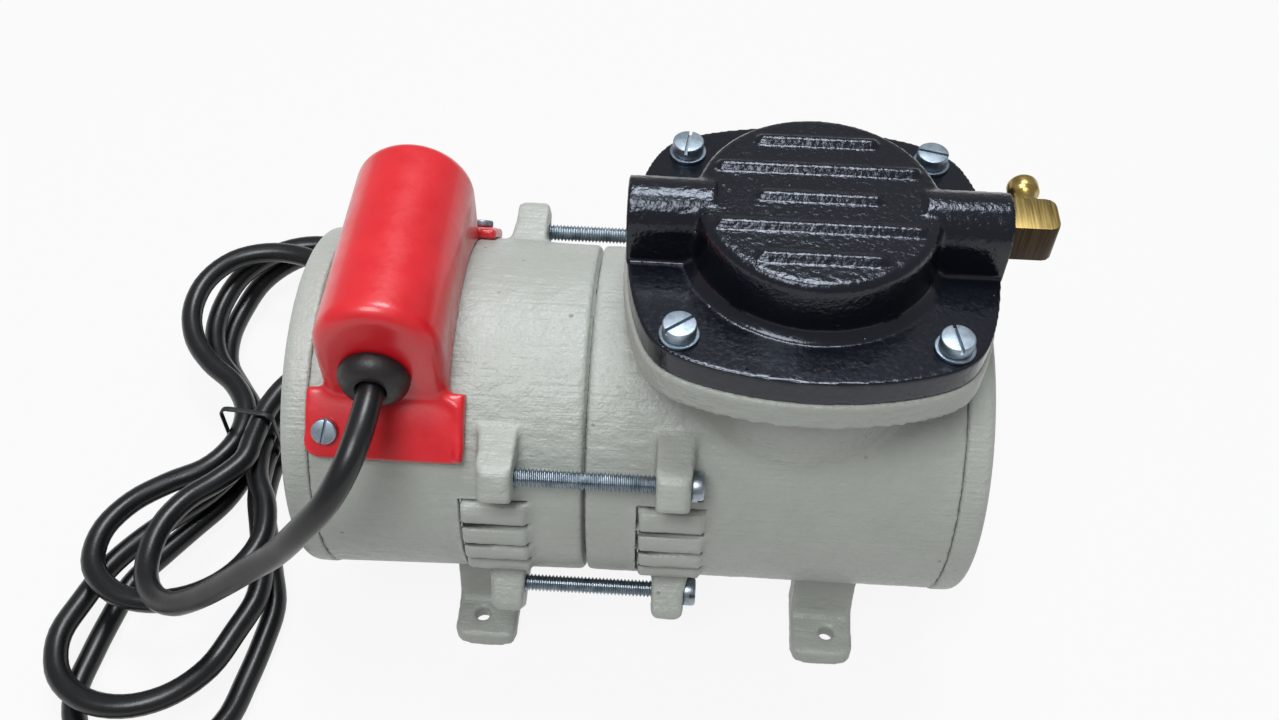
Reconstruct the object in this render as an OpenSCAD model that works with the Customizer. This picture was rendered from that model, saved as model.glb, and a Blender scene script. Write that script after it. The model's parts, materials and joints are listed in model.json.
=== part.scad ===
// Oil-free diaphragm vacuum pump: a capacitor-run motor and a crankcase, cast in two halves,
// held together by four tie bolts, with the pump head on top of the crankcase.
// +X runs along the motor shaft towards the crankcase, +Z is up, and the origin is on the floor
// in the middle of the four foot holes.

/* [Casings] */
// Height of the motor shaft above the floor
axis_h = 64; // [62:0.5:74]
// Outside radius of both casings where they meet
casing_r = 48.2; // [47.8:0.1:52]
// Length of the motor casing with its end cover
motor_len = 81; // [79:0.5:95]
// Outside radius of the motor casing at its far end
motor_end_r = 49.8; // [47:0.1:52]
// Length of the crankcase with its end cover
crank_len = 107.5; // [106:0.5:125]
// Outside radius of the crankcase at its far end
crank_end_r = 48.2; // [46:0.1:52]
// Inside radius of both casings past the stator
bore_r = 42; // [41:0.5:42.5]
// Depth of the rim of each end cover
cover_depth = 7.5; // [6.5:0.5:10]
// Thickness of the flat plate of each end cover
cover_plate = 4; // [3:0.5:5.5]
// How far the end covers stand out past the casings
cover_lip = 0.4; // [0:0.1:1]
// Edge radius of the end covers
cover_edge_r = 3; // [1:0.5:4]
// Circle radius of the end cover screws
cover_screw_r = 36.5; // [35:0.5:37]
// Width of the open line where the casings meet
joint_gap = 0.9; // [0.4:0.1:2]
// Depth of the open line where the casings meet
joint_gap_depth = 2; // [1:0.5:2.5]

/* [Feet] */
// Distance of the motor casing's foot holes from the joint of the casings
motor_hole_x = 33.7; // [30:0.1:40]
// Distance of the crankcase's foot holes from the joint of the casings
crank_hole_x = 74.6; // [70:0.1:80]
// Distance between the front and back foot holes
foot_span_y = 80; // [76:1:84]
// Width of each foot
foot_w = 19; // [16:0.5:24]
// How far each foot hole lies outwards of the middle of its foot
foot_hole_shift = 1.5; // [0:0.1:3]
// Thickness of the foot pads
pad_t = 6; // [4:0.5:8]
// Length of the pad beyond the middle of its hole
pad_end = 8; // [6:0.5:10]
// Radius of the foot holes
foot_hole_r = 2.25; // [1.5:0.05:3]

/* [Tie bolts and lugs] */
// Circle radius of the tie bolts
tie_circle_r = 53.1; // [52.9:0.1:55]
// Angle of the tie bolts above and below the level of the shaft
tie_angle = 30.7; // [29:0.1:34]
// Radius of the tie bolts and the head screws
bolt_r = 2.5; // [2:0.1:3]
// Inner face of the motor casing's lugs from the joint
motor_lug_x = 17.3; // [15:0.1:20]
// Inner face of the crankcase's lugs from the joint
crank_lug_x = 19; // [16:0.1:22]
// Length of a lug along the shaft at its root
lug_root_w = 11; // [10:0.1:13]
// Length of a lug along the shaft at its tip
lug_tip_w = 9; // [7:0.1:10]
// Radius to the tip of the lugs
lug_tip_r = 61.5; // [60:0.5:64]
// Distance from the joint to the seat of the bolt heads
bolt_seat_x = 28.2; // [26:0.1:30]
// Radius of the tie bolt heads
tie_head_r = 4.2; // [3.5:0.1:5]
// Height of the tie bolt heads
tie_head_h = 4; // [3:0.1:5]

/* [Louvres] */
// Near edge of the motor casing's louvres from the joint
motor_louvre_x = 14.8; // [13:0.1:16]
// Near edge of the crankcase's louvres from the joint
crank_louvre_x = 14.6; // [13:0.1:16]
// Length of the louvres along the shaft
louvre_w = 18.7; // [15:0.1:19]
// Number of louvre fins on each side of a casing
louvre_fins = 4; // [2:1:4]
// Angle from one louvre fin to the next
louvre_pitch = 9.7; // [9:0.1:10]
// Angle of the upper edge of the louvres above the front
louvre_top = 19.2; // [18:0.1:21]
// Height of one louvre fin
fin_h = 7.1; // [5:0.1:7.4]
// Thickness of one louvre fin
fin_t = 4; // [3:0.1:5]
// How far the louvre fins stand out of the casing
fin_out = 1; // [0:0.1:2]

/* [Pump head] */
// Distance from the joint of the casings to the middle of the head
head_x = 56.3; // [54:0.1:60]
// Height of the head's seat above the shaft
seat_z = 64.5; // [63:0.1:68]
// Thickness of the crankcase's square flange
ledge_t = 8.5; // [7:0.1:10]
// Outside radius of the crankcase's round neck
neck_r = 39.7; // [38:0.1:41]
// Inside radius of the neck and of the pumping chamber
chamber_r = 32; // [30:0.1:33]
// Thickness of the head's flange
flange_t = 8; // [6:0.5:10]
// Half width of the flange along the shaft
flange_half_x = 47.4; // [46:0.1:50]
// Half depth of the flange across the shaft
flange_half_y = 46; // [44:0.5:48]
// Radius of the curved front and back of the flange
flange_bow_r = 97; // [85:1:130]
// Radius of the curved ends of the flange
flange_end_r = 93; // [85:1:130]
// Sharpness of the flange's corners
flange_corner = 20; // [12:1:30]
// Distance of the head screws from the middle, along and across
head_screw_d = 33; // [32:0.1:34]
// Radius of the dome at its top edge
dome_r = 30.7; // [30:0.1:32]
// Height of the dome above the shaft
dome_z = 89.1; // [87:0.1:92]
// Edge radius of the dome
dome_edge_r = 2.5; // [1:0.5:4]
// Height of the ports' middle line above the shaft
port_z = 81.6; // [80:0.1:83]
// Outside radius of the ports
port_r = 8.8; // [7:0.1:10]
// Radius of the tapped holes in the ports
port_hole_r = 4.4; // [4:0.1:6]
// Depth of the tapped holes in the ports
port_hole_l = 12; // [9:0.5:14]
// Distance between the raised bars on the dome
rib_pitch = 10.4; // [9:0.1:11]
// Radius of the raised bars on the dome
rib_r = 1.7; // [1:0.1:2.5]

/* [Diaphragm and valves] */
// Half of the pumping stroke
throw = 2.5; // [1.5:0.1:2.5]
// Thickness of the rubber diaphragm
rubber_t = 2; // [1:0.1:2.5]
// Radius of the discs that clamp the middle of the diaphragm
disc_r = 20; // [16:0.5:22]
// Thickness of each clamp disc
disc_t = 2; // [1.5:0.1:3]
// Thickness of the valve plate
valve_plate_t = 5; // [4.5:0.1:6]
// Radius of the valve plate
valve_plate_r = 27.3; // [26:0.1:27.5]
// Thickness of the valve plate's gasket
gasket_t = 0.8; // [0.5:0.1:1.5]
// Radius of the valve discs
valve_r = 7; // [6:0.1:7.5]
// Thickness of the valve discs
valve_t = 1; // [0.8:0.1:1.2]
// Lift of the valve discs
valve_lift = 0.8; // [0.4:0.1:0.9]

/* [Motor] */
// Half length of the stator stack
stator_half = 15; // [14:0.5:16]
// Outside radius of the stator stack
stator_r = 43.6; // [43:0.1:44.4]
// Bore radius of the stator
stator_bore_r = 24.4; // [22:0.1:26]
// Air gap between rotor and stator
air_gap = 0.4; // [0.3:0.05:0.8]
// Number of stator slots
slots = 24; // [12:12:24]
// Radius of the shaft in its bearings
shaft_r = 5; // [4.5:0.1:5]
// Length of the shaft past the head's middle line
shaft_tail = 7; // [6.5:0.5:12]
// Outside radius of the cooling fan
fan_r = 38; // [32:0.5:40]
// Number of fan blades
fan_blades = 12; // [8:1:16]

/* [Bearings] */
// Outside radius of the shaft bearings
bearing_r = 13; // [12.5:0.1:14]
// Width of the shaft bearings
bearing_w = 8; // [7:0.5:9]
// Bore radius of the connecting rod's bearing
rod_bearing_bore = 8.5; // [8.5:0.1:9]
// Outside radius of the connecting rod's bearing
rod_bearing_r = 17.5; // [17:0.1:19]
// Width of the connecting rod's bearing
rod_bearing_w = 10; // [8:0.5:11]
// Radius of the balls
ball_r = 2.35; // [2:0.05:2.4]

/* [Capacitor cover] */
// Distance from the joint to the middle of the capacitor cover
cap_x = 52.6; // [51:0.1:54]
// Width of the capacitor cover
cap_w = 33.2; // [31:0.1:36]
// Half length of the capacitor cover across the shaft
cap_half_y = 32.2; // [31:0.1:33]
// Height of the capacitor cover above the shaft
cap_z = 73.9; // [73:0.1:80]
// Wall of the capacitor cover
cap_wall = 2.2; // [1.5:0.1:3]
// Edge radius of the capacitor cover
cap_edge_r = 4; // [3:0.5:6]
// Width of the cover's screwed flanges
cap_flange_w = 42.2; // [40:0.1:44]
// Thickness of the cover's screwed flanges
cap_flange_t = 2.8; // [2:0.1:4]
// Radius of the capacitor
capacitor_r = 10.5; // [9.5:0.1:11]
// Length of the capacitor
capacitor_l = 43; // [36:1:44]

/* [Grommet and outlet] */
// Height of the cord grommet above the shaft
grommet_z = 50.3; // [50:0.1:53]
// Radius of the grommet's domed head
grommet_r = 9.4; // [8:0.1:11]
// Height of the grommet's domed head
grommet_h = 6; // [4:0.1:8]
// Radius of the mains cord
cord_r = 3.6; // [3:0.1:4]
// Side of the square brass elbow
elbow_side = 11; // [10:0.1:13]
// Length of the brass elbow along the shaft
elbow_len = 11.5; // [10:0.1:14]
// How far the hose nozzle reaches back from the port's middle line
nozzle_reach = 17; // [15:0.5:25]
// Radius of the hose nozzle's rounded end
nozzle_tip_r = 4; // [3.5:0.1:5]
// Radius of the hose nozzle's neck
nozzle_neck_r = 3.1; // [2.6:0.1:3.4]

/* [Clearances] */
// Radial clearance of fitted bores and screws
fit_gap = 0.05; // [0.02:0.01:0.1]
// Clearance where a cast or moulded piece sits on a curved face
seat_gap = 0.15; // [0.1:0.05:0.3]
// Clearance of screws that pass through a hole
hole_gap = 0.25; // [0.1:0.05:0.5]

/* [Hidden] */
$fn = 96;

joint_x = (motor_hole_x - crank_hole_x) / 2;
through = 1;
stator_seat_r = stator_r + fit_gap;
motor_rim_x = motor_len - cover_depth;
crank_rim_x = crank_len - cover_depth;
flange_top_z = seat_z + flange_t;
rear_bearing_x = -63;
front_bearing_x = 43.5;
web_x = 35.3;
web_t = 4;
rotor_r = stator_bore_r - air_gap;
screw_r = 2;
screw_head_r = 3.6;
slot_w = 1.1;
slot_d = 1.3;
boss_r = 5;
boss_depth = 2.9;

// Outside radius of the tapered casings at a distance x from their joint
function casing_r_at(x) = x < 0
    ? casing_r + (motor_end_r - casing_r) * -x / motor_len
    : casing_r + (crank_end_r - casing_r) * x / crank_len;

// Points of an arc that rounds the corner b between a and c
function corner_arc(a, b, c, r, n) =
    let (u = (a - b) / norm(a - b), v = (c - b) / norm(c - b),
         half = acos(max(-1, min(1, u * v))) / 2,
         m = b + (u + v) / norm(u + v) * r / sin(half),
         p = b + u * r / tan(half) - m, q = b + v * r / tan(half) - m,
         s = atan2(p.y, p.x), turn = atan2(q.y, q.x) - s,
         sweep = turn > 180 ? turn - 360 : turn < -180 ? turn + 360 : turn)
    [for (i = [0:n]) m + r * [cos(s + sweep * i / n), sin(s + sweep * i / n)]];

// A closed outline whose corners are given as [x, y, corner radius]
function rounded(pts, n = 5) =
    [for (i = [0:len(pts) - 1])
        let (k = len(pts), a = pts[(i + k - 1) % k], b = pts[i], c = pts[(i + 1) % k])
        each b.z == 0 ? [[b.x, b.y]] : corner_arc([a.x, a.y], [b.x, b.y], [c.x, c.y], b.z, n)];

// Puts children, modelled with the shaft's axis as X and the joint at 0, into the pump's frame
module on_shaft() translate([joint_x, 0, axis_h]) children();

// Puts children, modelled upright round the head's middle line, into the pump's frame
module on_head(z = 0) translate([joint_x + head_x, 0, axis_h + z]) children();

// Turns an upright child so that its Z lies along the shaft, from x onwards
module along_x(x = 0) translate([x, 0, 0]) rotate([0, 90, 0]) children();

// A body turned round the shaft's axis from an outline of [x, radius] points
module turned(pts) rotate([0, 90, 0]) rotate_extrude() polygon([for (p = pts) [p.y, p.x]]);

// Turns children so that their X points outwards at an angle above the front, Z along the shaft
module at_angle(a) rotate([90, 0, 90]) rotate([0, 0, 180 - a]) children();

// A band round the shaft from x0 to x1, radius r0 to r1 and angle a0 to a1 above the front
module arc_band(x0, x1, r0, r1, a0, a1)
    rotate([90, 0, 90]) rotate([0, 0, 180 - a1]) rotate_extrude(angle = a1 - a0)
        translate([r0, x0]) square([r1 - r0, x1 - x0]);

// A ring with a round hole, standing on the XY plane
module ring(r_out, r_in, h) difference() {
    cylinder(r = r_out, h = h);
    translate([0, 0, -through]) cylinder(r = r_in, h = h + 2 * through);
}

// A slotted cheese head screw that stands on its seat, its shank going down
module slotted_screw(shank_r, shank_l, head_r, head_h) {
    difference() {
        rotate_extrude() polygon(rounded([[0, 0, 0], [head_r, 0, 0.2], [head_r * 0.96, head_h, 0.5],
            [0, head_h, 0]], 3));
        translate([-head_r - through, -slot_w / 2, head_h - slot_d])
            cube([2 * (head_r + through), slot_w, slot_d + through]);
    }
    translate([0, 0, -shank_l]) cylinder(r = shank_r, h = shank_l + 0.1);
}

// Casings

// One lug, its inner face at x 0 and its bolt hole on the tie circle, at an angle above the front
module lug(a) at_angle(a) intersection() {
    linear_extrude(lug_root_w + through)
        polygon(rounded([[bore_r + 2, 6.6, 0], [lug_tip_r, 4.6, 2], [lug_tip_r, -5, 4.5],
            [casing_r - 1.5, -12.4, 0], [bore_r + 2, -12.4, 0]]));
    rotate([90, 0, 0]) linear_extrude(40, center = true)
        polygon(rounded([[bore_r + 2, 0, 0], [lug_tip_r, 0.5, 2], [lug_tip_r, lug_tip_w + 0.5, 2.4],
            [bore_r + 2, lug_root_w, 0]]));
}

// Puts a child, made for the upper front, at all four tie bolts
module at_four_corners() for (back = [0, 1], low = [0, 1])
    mirror([0, back, 0]) mirror([0, 0, low]) children();

module lugs(x) at_four_corners() translate([x, 0, 0]) lug(tie_angle);

module on_tie_circle() for (back = [0, 1], up = [-1, 1])
    at_angle(180 * back + up * tie_angle) translate([tie_circle_r, 0, 0]) children();

// The front leg of a pair of feet, centred on x 0, in the shaft's frame
module foot_leg(root_r) intersection() {
    rotate([90, 0, 90]) linear_extrude(foot_w, center = true)
        polygon(rounded([[-foot_span_y / 2 - pad_end, -axis_h, 0],
            [-foot_span_y / 2 - pad_end, pad_t - axis_h, 1.5], [-34, pad_t - axis_h, 3],
            [-28, -sqrt(root_r * root_r - 28 * 28), 0], [-22, -sqrt(root_r * root_r - 22 * 22), 0],
            [-24, -axis_h, 0]]));
    translate([0, 0, -axis_h - through]) linear_extrude(axis_h)
        polygon(rounded([[-foot_w / 2, -foot_span_y / 2 - pad_end, 4],
            [foot_w / 2, -foot_span_y / 2 - pad_end, 4],
            [foot_w / 2, 0, 0], [-foot_w / 2, 0, 0]]));
}

module feet(x, root_r) for (m = [0, 1]) mirror([0, m, 0]) translate([x, 0, 0]) foot_leg(root_r);

module foot_holes(x) for (s = [-1, 1])
    translate([x, s * foot_span_y / 2, -axis_h - through])
        cylinder(r = foot_hole_r, h = pad_t + 2 * through, $fn = 48);

// The windows of one casing's louvres, from x0 onwards
module louvre_windows(x0) for (m = [0, 1]) mirror([0, m, 0])
    arc_band(x0, x0 + louvre_w, bore_r - 3, casing_r + 3, louvre_top - louvre_fins * louvre_pitch,
        louvre_top);

module louvre_fins(x0) for (m = [0, 1]) mirror([0, m, 0]) for (k = [0:louvre_fins - 1])
    at_angle(louvre_top - (k + 0.5) * louvre_pitch)
        translate([casing_r_at(x0 + louvre_w / 2) + fin_out - fin_t, -fin_h / 2, x0 - 0.5])
            linear_extrude(louvre_w + 1)
                polygon(rounded([[0, 0, 0.8], [fin_t, 0, 1.4], [fin_t, fin_h, 1.4], [0, fin_h, 0.8]]));

// Screw bosses inside a casing, from x0 onwards
module cover_bosses(x0, l) for (k = [0:3]) at_angle(45 + 90 * k) translate([cover_screw_r, 0, x0]) {
    cylinder(r = boss_r, h = l, $fn = 48);
    translate([0, -boss_r, 0]) cube([bore_r + 1.5 - cover_screw_r, 2 * boss_r, l]);
}

module cover_screw_holes(x0, l) for (k = [0:3])
    at_angle(45 + 90 * k) translate([cover_screw_r, 0, x0])
        cylinder(r = screw_r + fit_gap, h = l, $fn = 48);

module motor_housing() color("#b5b6a6") on_shaft() {
    lip_r = casing_r - joint_gap_depth;
    lug_end = motor_lug_x + lug_root_w;
    difference() {
        union() {
            turned([[0, stator_seat_r], [0, lip_r], [-joint_gap / 2, lip_r],
                [-joint_gap / 2, casing_r - 0.8],
                [-joint_gap / 2 - 0.8, casing_r], [-motor_rim_x, casing_r_at(-motor_rim_x)],
                [-motor_rim_x, bore_r], [-stator_half - seat_gap, bore_r],
                    [-stator_half - seat_gap, stator_seat_r]]);
            mirror([1, 0, 0]) lugs(motor_lug_x);
            feet(-motor_hole_x + foot_hole_shift, bore_r + 2.5);
            cover_bosses(-motor_rim_x + boss_depth, 10);
        }
        louvre_windows(-motor_louvre_x - louvre_w);
        on_tie_circle() translate([0, 0, -lug_end - through])
            cylinder(r = bolt_r + fit_gap, h = lug_end + 2 * through, $fn = 48);
        foot_holes(-motor_hole_x);
        cover_screw_holes(-motor_rim_x, 11);
        at_angle(cap_screw_a) translate([bore_r - through, 0, -cap_x - cap_screw_dx]) rotate([0, 90, 0])
            cylinder(r = cap_screw_r + fit_gap, h = 12, $fn = 48);
        at_angle(180 - cap_screw_a) translate([bore_r - through, 0, -cap_x + cap_screw_dx])
            rotate([0, 90, 0])
            cylinder(r = cap_screw_r + fit_gap, h = 12, $fn = 48);
        translate([-cap_x, -lead_hole_y, bore_r / 2]) cylinder(r = lead_hole_r, h = casing_r, $fn = 48);
    }
    louvre_fins(-motor_louvre_x - louvre_w);
}

module crankcase_housing() color("#b5b6a6") on_shaft() {
    lip_r = casing_r - joint_gap_depth;
    difference() {
        union() {
            turned([[0, stator_seat_r], [0, lip_r], [joint_gap / 2, lip_r], [joint_gap / 2, casing_r - 0.3],
                [joint_gap / 2 + 0.3, casing_r], [crank_rim_x, casing_r_at(crank_rim_x)],
                    [crank_rim_x, bore_r],
                [web_x + web_t, bore_r], [web_x + web_t, bearing_r + 6],
                    [front_bearing_x + 0.5, bearing_r + 4],
                [front_bearing_x + 0.5, bearing_r + fit_gap], [front_bearing_x - bearing_w,
                    bearing_r + fit_gap],
                [front_bearing_x - bearing_w, bearing_r - 2.5], [web_x - 1, bearing_r - 2.5],
                    [web_x - 1, bearing_r + 4],
                [web_x, bearing_r + 6], [web_x, bore_r], [stator_half + seat_gap, bore_r],
                [stator_half + seat_gap, stator_seat_r]]);
            lugs(crank_lug_x);
            feet(crank_hole_x - foot_hole_shift, bore_r + 2.5);
            cover_bosses(crank_rim_x - boss_depth - 10, 10);
            difference() {
                translate([head_x, 0, 20]) {
                    cylinder(r = neck_r, h = seat_z - ledge_t - 20 + 0.5);
                    translate([0, 0, seat_z - ledge_t - 20]) linear_extrude(ledge_t) flange_outline(0.8);
                }
                along_x() cylinder(r = bore_r, h = crank_len);
            }
        }
        translate([head_x, 0, 30]) cylinder(r = chamber_r, h = seat_z);
        translate([head_x, 0, seat_z - rubber_t]) cylinder(r = rim_r + fit_gap, h = rubber_t + through);
        louvre_windows(crank_louvre_x);
        on_tie_circle() translate([0, 0, -through])
            cylinder(r = bolt_r + hole_gap, h = crank_lug_x + lug_root_w + 2 * through, $fn = 48);
        on_tie_circle() translate([0, 0, bolt_seat_x]) cylinder(r = tie_head_r + 0.6, h = 6, $fn = 48);
        foot_holes(crank_hole_x);
        cover_screw_holes(crank_rim_x - 11, 11);
        at_head_screws() translate([head_x, 0, seat_z - ledge_t - through])
            cylinder(r = bolt_r + fit_gap, h = ledge_t + 2 * through, $fn = 48);
        for (k = [0:5]) at_angle(60 * k) translate([30.5, 0, web_x - through])
            cylinder(r = 5.5, h = web_t + 2 * through, $fn = 48);
    }
    louvre_fins(crank_louvre_x);
}

// Half section of an end cover, its rim's free edge at x 0 and its outer face at x cover_depth
function end_cover_outline(rim_r) = rounded([[0, rim_r + cover_lip, 0.3],
    [cover_depth, rim_r + cover_lip - 0.2, cover_edge_r],
    [cover_depth, 0, 0], [cover_depth - cover_plate, 0, 0], [cover_depth - cover_plate, 30, 2],
        [0, 31.5, 0],
    [-2.5, 31.5, 0], [-2.5, bore_r - 0.1, 0], [0, bore_r - 0.1, 0]]);

module end_cover_holes() for (k = [0:3]) at_angle(45 + 90 * k) translate([cover_screw_r, 0, 0]) {
    translate([0, 0, -3]) cylinder(r = screw_r + hole_gap, h = cover_depth + 4, $fn = 48);
    translate([0, 0, cover_depth - 2.8]) cylinder(r = screw_head_r + hole_gap, h = 3, $fn = 48);
}

module motor_end_cover() color("#b5b6a6") on_shaft() difference() {
    union() {
        translate([-motor_rim_x - 0.3, 0, 0]) mirror([1, 0, 0])
            turned(end_cover_outline(casing_r_at(-motor_rim_x)));
        turned([[-motor_len + 1, 0], [-motor_len + 1, bearing_r + 5], [rear_bearing_x - 0.5, bearing_r + 4],
            [rear_bearing_x - 0.5, 0]]);
    }
    along_x(rear_bearing_x - bearing_w - washer_t) cylinder(r = bearing_r + fit_gap, h = 20);
    along_x(rear_bearing_x - bearing_w - washer_t - 2) cylinder(r = shaft_r + 3, h = 20);
    translate([-motor_rim_x - 0.3, 0, 0]) mirror([1, 0, 0]) end_cover_holes();
}

module crankcase_end_cover() color("#b5b6a6") on_shaft() translate([crank_rim_x + 0.3, 0, 0]) difference() {
    turned(end_cover_outline(casing_r_at(crank_rim_x)));
    end_cover_holes();
}

module end_cover_screws() color("#c4c8cc") on_shaft()
    for (m = [[1, -motor_rim_x - 0.3], [0, crank_rim_x + 0.3]])
    translate([m[1], 0, 0]) mirror([m[0], 0, 0]) for (k = [0:3])
        at_angle(45 + 90 * k) translate([cover_screw_r, 0, cover_depth - 2.8])
            slotted_screw(screw_r, 14, screw_head_r, 2.4);

module tie_bolts() color("#b9c0c6") on_shaft() on_tie_circle() {
    translate([0, 0, bolt_seat_x]) slotted_screw(bolt_r, bolt_seat_x + motor_lug_x + 9, tie_head_r,
        tie_head_h);
}

// Pump head

// Radius of the metal that stays round each screw
screw_land_r = bolt_r + 3;

// Reach from the middle to a bowed side of radius r that lies half away, at an angle a to it
function bow(r, half, a) = sqrt(r * r - pow((r - half) * sin(a), 2)) - (r - half) * abs(cos(a));

// Outline of the head's flange, grown all round by a margin: four bowed sides and round corners
module flange_outline(grow = 0) {
    polygon([for (a = [0:2.5:359])
        let (front = bow(flange_bow_r, flange_half_y, a - 90),
            side = bow(flange_end_r, flange_half_x, a),
            reach = pow(pow(front, -flange_corner) + pow(side, -flange_corner), -1 / flange_corner))
        (reach + grow) * [cos(a), sin(a)]]);
    at_head_screws() circle(r = screw_land_r, $fn = 48);
}

module at_head_screws() for (x = [-head_screw_d, head_screw_d], y = [-head_screw_d, head_screw_d])
    translate([x, y, 0]) children();

module pump_head() color("#17181b") on_head() {
    pocket_z = chamber_top_z + valve_plate_t + gasket_t;
    difference() {
        union() {
            translate([0, 0, seat_z]) linear_extrude(flange_t) flange_outline();
            rotate_extrude() polygon(rounded([[0, seat_z + 1, 0], [dome_r + 4, seat_z + 1, 0],
                [dome_r + 3.4, flange_top_z, 0.1], [dome_r + 1, flange_top_z + 2.2, 2],
                    [dome_r, dome_z - 0.3, dome_edge_r],
                [0, dome_z, 0]]));
            for (m = [0, 1]) mirror([m, 0, 0]) {
                translate([0, 0, port_z]) along_x(dome_r - 5)
                    cylinder(r = port_r, h = flange_half_x - dome_r + 5);
                translate([dome_r - 5, -port_r, flange_top_z - 1])
                    cube([flange_half_x - dome_r + 5, 2 * port_r, port_z - flange_top_z + 1]);
            }
            for (k = [-2:2]) translate([0, k * rib_pitch, dome_z - 0.5]) dome_rib(abs(k) == 1 ? 24 : 14);
        }
        translate([0, 0, seat_z - through]) cylinder(r = chamber_r, h = chamber_top_z - seat_z + through);
        translate([0, 0, chamber_top_z - 0.1])
            cylinder(r = valve_plate_r + 0.2, h = pocket_z - chamber_top_z + 0.1);
        difference() {
            translate([0, 0, pocket_z - 0.1])
                cylinder(r = valve_plate_r - 2.5, h = dome_z - 3.6 - pocket_z);
            translate([-2, -30, pocket_z - 1]) cube([4, 60, 30]);
            for (s = [-1, 1]) translate([0, s * plate_screw_y, pocket_z - 1]) cylinder(r = 4, h = 30);
        }
        for (s = [-1, 1]) translate([0, s * plate_screw_y, pocket_z - 0.2])
            cylinder(r = 1.5 + fit_gap, h = plate_screw_grip + 0.6, $fn = 48);
        for (m = [0, 1]) mirror([m, 0, 0]) {
            translate([0, 0, port_z]) along_x(flange_half_x - port_hole_l)
                cylinder(r = port_hole_r, h = port_hole_l + through, $fn = 64);
            translate([0, 0, port_z]) along_x(15) cylinder(r = 2.8, h = flange_half_x - 15, $fn = 48);
        }
        at_head_screws() translate([0, 0, seat_z - through])
            cylinder(r = bolt_r + hole_gap, h = flange_t + 20, $fn = 48);
    }
}

// One raised bar on the dome, with round ends
module dome_rib(half) {
    along_x(-half) cylinder(r = rib_r, h = 2 * half, $fn = 32);
    for (s = [-half, half]) translate([s, 0, 0]) sphere(r = rib_r, $fn = 32);
}

module head_screws() color("#c4c8cc") on_head() at_head_screws()
    translate([0, 0, flange_top_z + washer_h]) slotted_screw(bolt_r, flange_t + ledge_t + washer_h - 1,
        head_screw_r, 3.4);

module head_washers() color("#aeb4b8") on_head() at_head_screws()
    translate([0, 0, flange_top_z]) ring(5, bolt_r + hole_gap, washer_h);

// Diaphragm and valves, upright round the head's middle line

// Level of the middle of the diaphragm at rest, at the bottom of its stroke
mid_z = seat_z - rubber_t - throw;
rim_r = chamber_r + 6.5;
chamber_top_z = seat_z - rubber_t + throw + rubber_t + disc_t + 1.2;
washer_h = 1;
// Depth of the flat on the shaft, and the gap that stands for a press fit
shaft_flat = 0.6;
press_gap = 0.02;
head_screw_r = 4.2;
plate_screw_y = 19;
plate_screw_seat = 2.2;
plate_screw_grip = 5;
washer_t = 0.8;
cap_screw_a = 41.2;
cap_screw_dx = 15.3;
cap_screw_r = 1.6;
lead_hole_y = 22;
lead_hole_r = 4;

// Height of the diaphragm's free ring from its clamped middle (0) to its rim (1)
function ease(t) = (1 - cos(180 * t)) / 2;
// Its one roll hangs below the straight line
function roll(t) = -1.6 * pow(sin(180 * t), 2);

module diaphragm() color("#23211f") on_head() rotate_extrude() {
    steps = 16;
    in_r = disc_r + 0.6;
    free = [for (i = [0:steps]) let (t = i / steps)
        [in_r + (chamber_r - 0.8 - in_r) * t, mid_z + throw * ease(t) + roll(t)]];
    polygon(concat([[2.6, mid_z]], free, [[rim_r, seat_z - rubber_t], [rim_r, seat_z]],
        [for (i = [steps:-1:0]) free[i] + [0, rubber_t]], [[2.6, mid_z + rubber_t]]));
}

module lower_clamp_disc() color("#b8bcc0") on_head(mid_z - disc_t) ring(disc_r, 2.6, disc_t);

module upper_clamp_disc() color("#b8bcc0") on_head(mid_z + rubber_t) difference() {
    rotate_extrude() polygon(rounded([[2.6, 0, 0], [disc_r, 0, 0], [disc_r, disc_t, 1.2],
        [2.6, disc_t, 0]]));
    translate([0, 0, disc_t - 1.3]) cylinder(r = 4.9, h = 2);
}

clamp_screw_l = 16;

module clamp_screw() color("#9aa0a6") on_head(mid_z + rubber_t + disc_t - 1.3) {
    difference() {
        cylinder(r = 4.6, h = 1.2);
        translate([-5, -0.5, 0.5]) cube([10, 1, 1]);
    }
    translate([0, 0, -clamp_screw_l]) cylinder(r = 2.5, h = clamp_screw_l + 0.1);
}

valve_x = 12.5;
port_ring_r = 4.4;
port_ring_hole_r = 1.25;
stem_r = 1.5;
recess_d = valve_t + valve_lift + 0.9;

module ring_of_ports() for (k = [0:5]) rotate(60 * k) translate([port_ring_r, 0, -through])
    cylinder(r = port_ring_hole_r, h = valve_plate_t + 2 * through, $fn = 32);

module valve_plate() color("#a7abb0") on_head(chamber_top_z) difference() {
    cylinder(r = valve_plate_r, h = valve_plate_t);
    translate([-valve_x, 0, 0]) {
        ring_of_ports();
        translate([0, 0, -through]) cylinder(r = valve_r + 0.8, h = recess_d + through);
        translate([0, 0, -through]) cylinder(r = stem_r + fit_gap, h = 10, $fn = 32);
    }
    translate([valve_x, 0, 0]) {
        ring_of_ports();
        translate([0, 0, -through]) cylinder(r = stem_r + fit_gap, h = 10, $fn = 32);
    }
    for (s = [-1, 1]) translate([0, s * plate_screw_y, 0]) {
        translate([0, 0, -through]) cylinder(r = 1.5 + hole_gap, h = 10, $fn = 32);
        translate([0, 0, -through]) cylinder(r = 3.2, h = plate_screw_seat + through, $fn = 48);
    }
}

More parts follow.
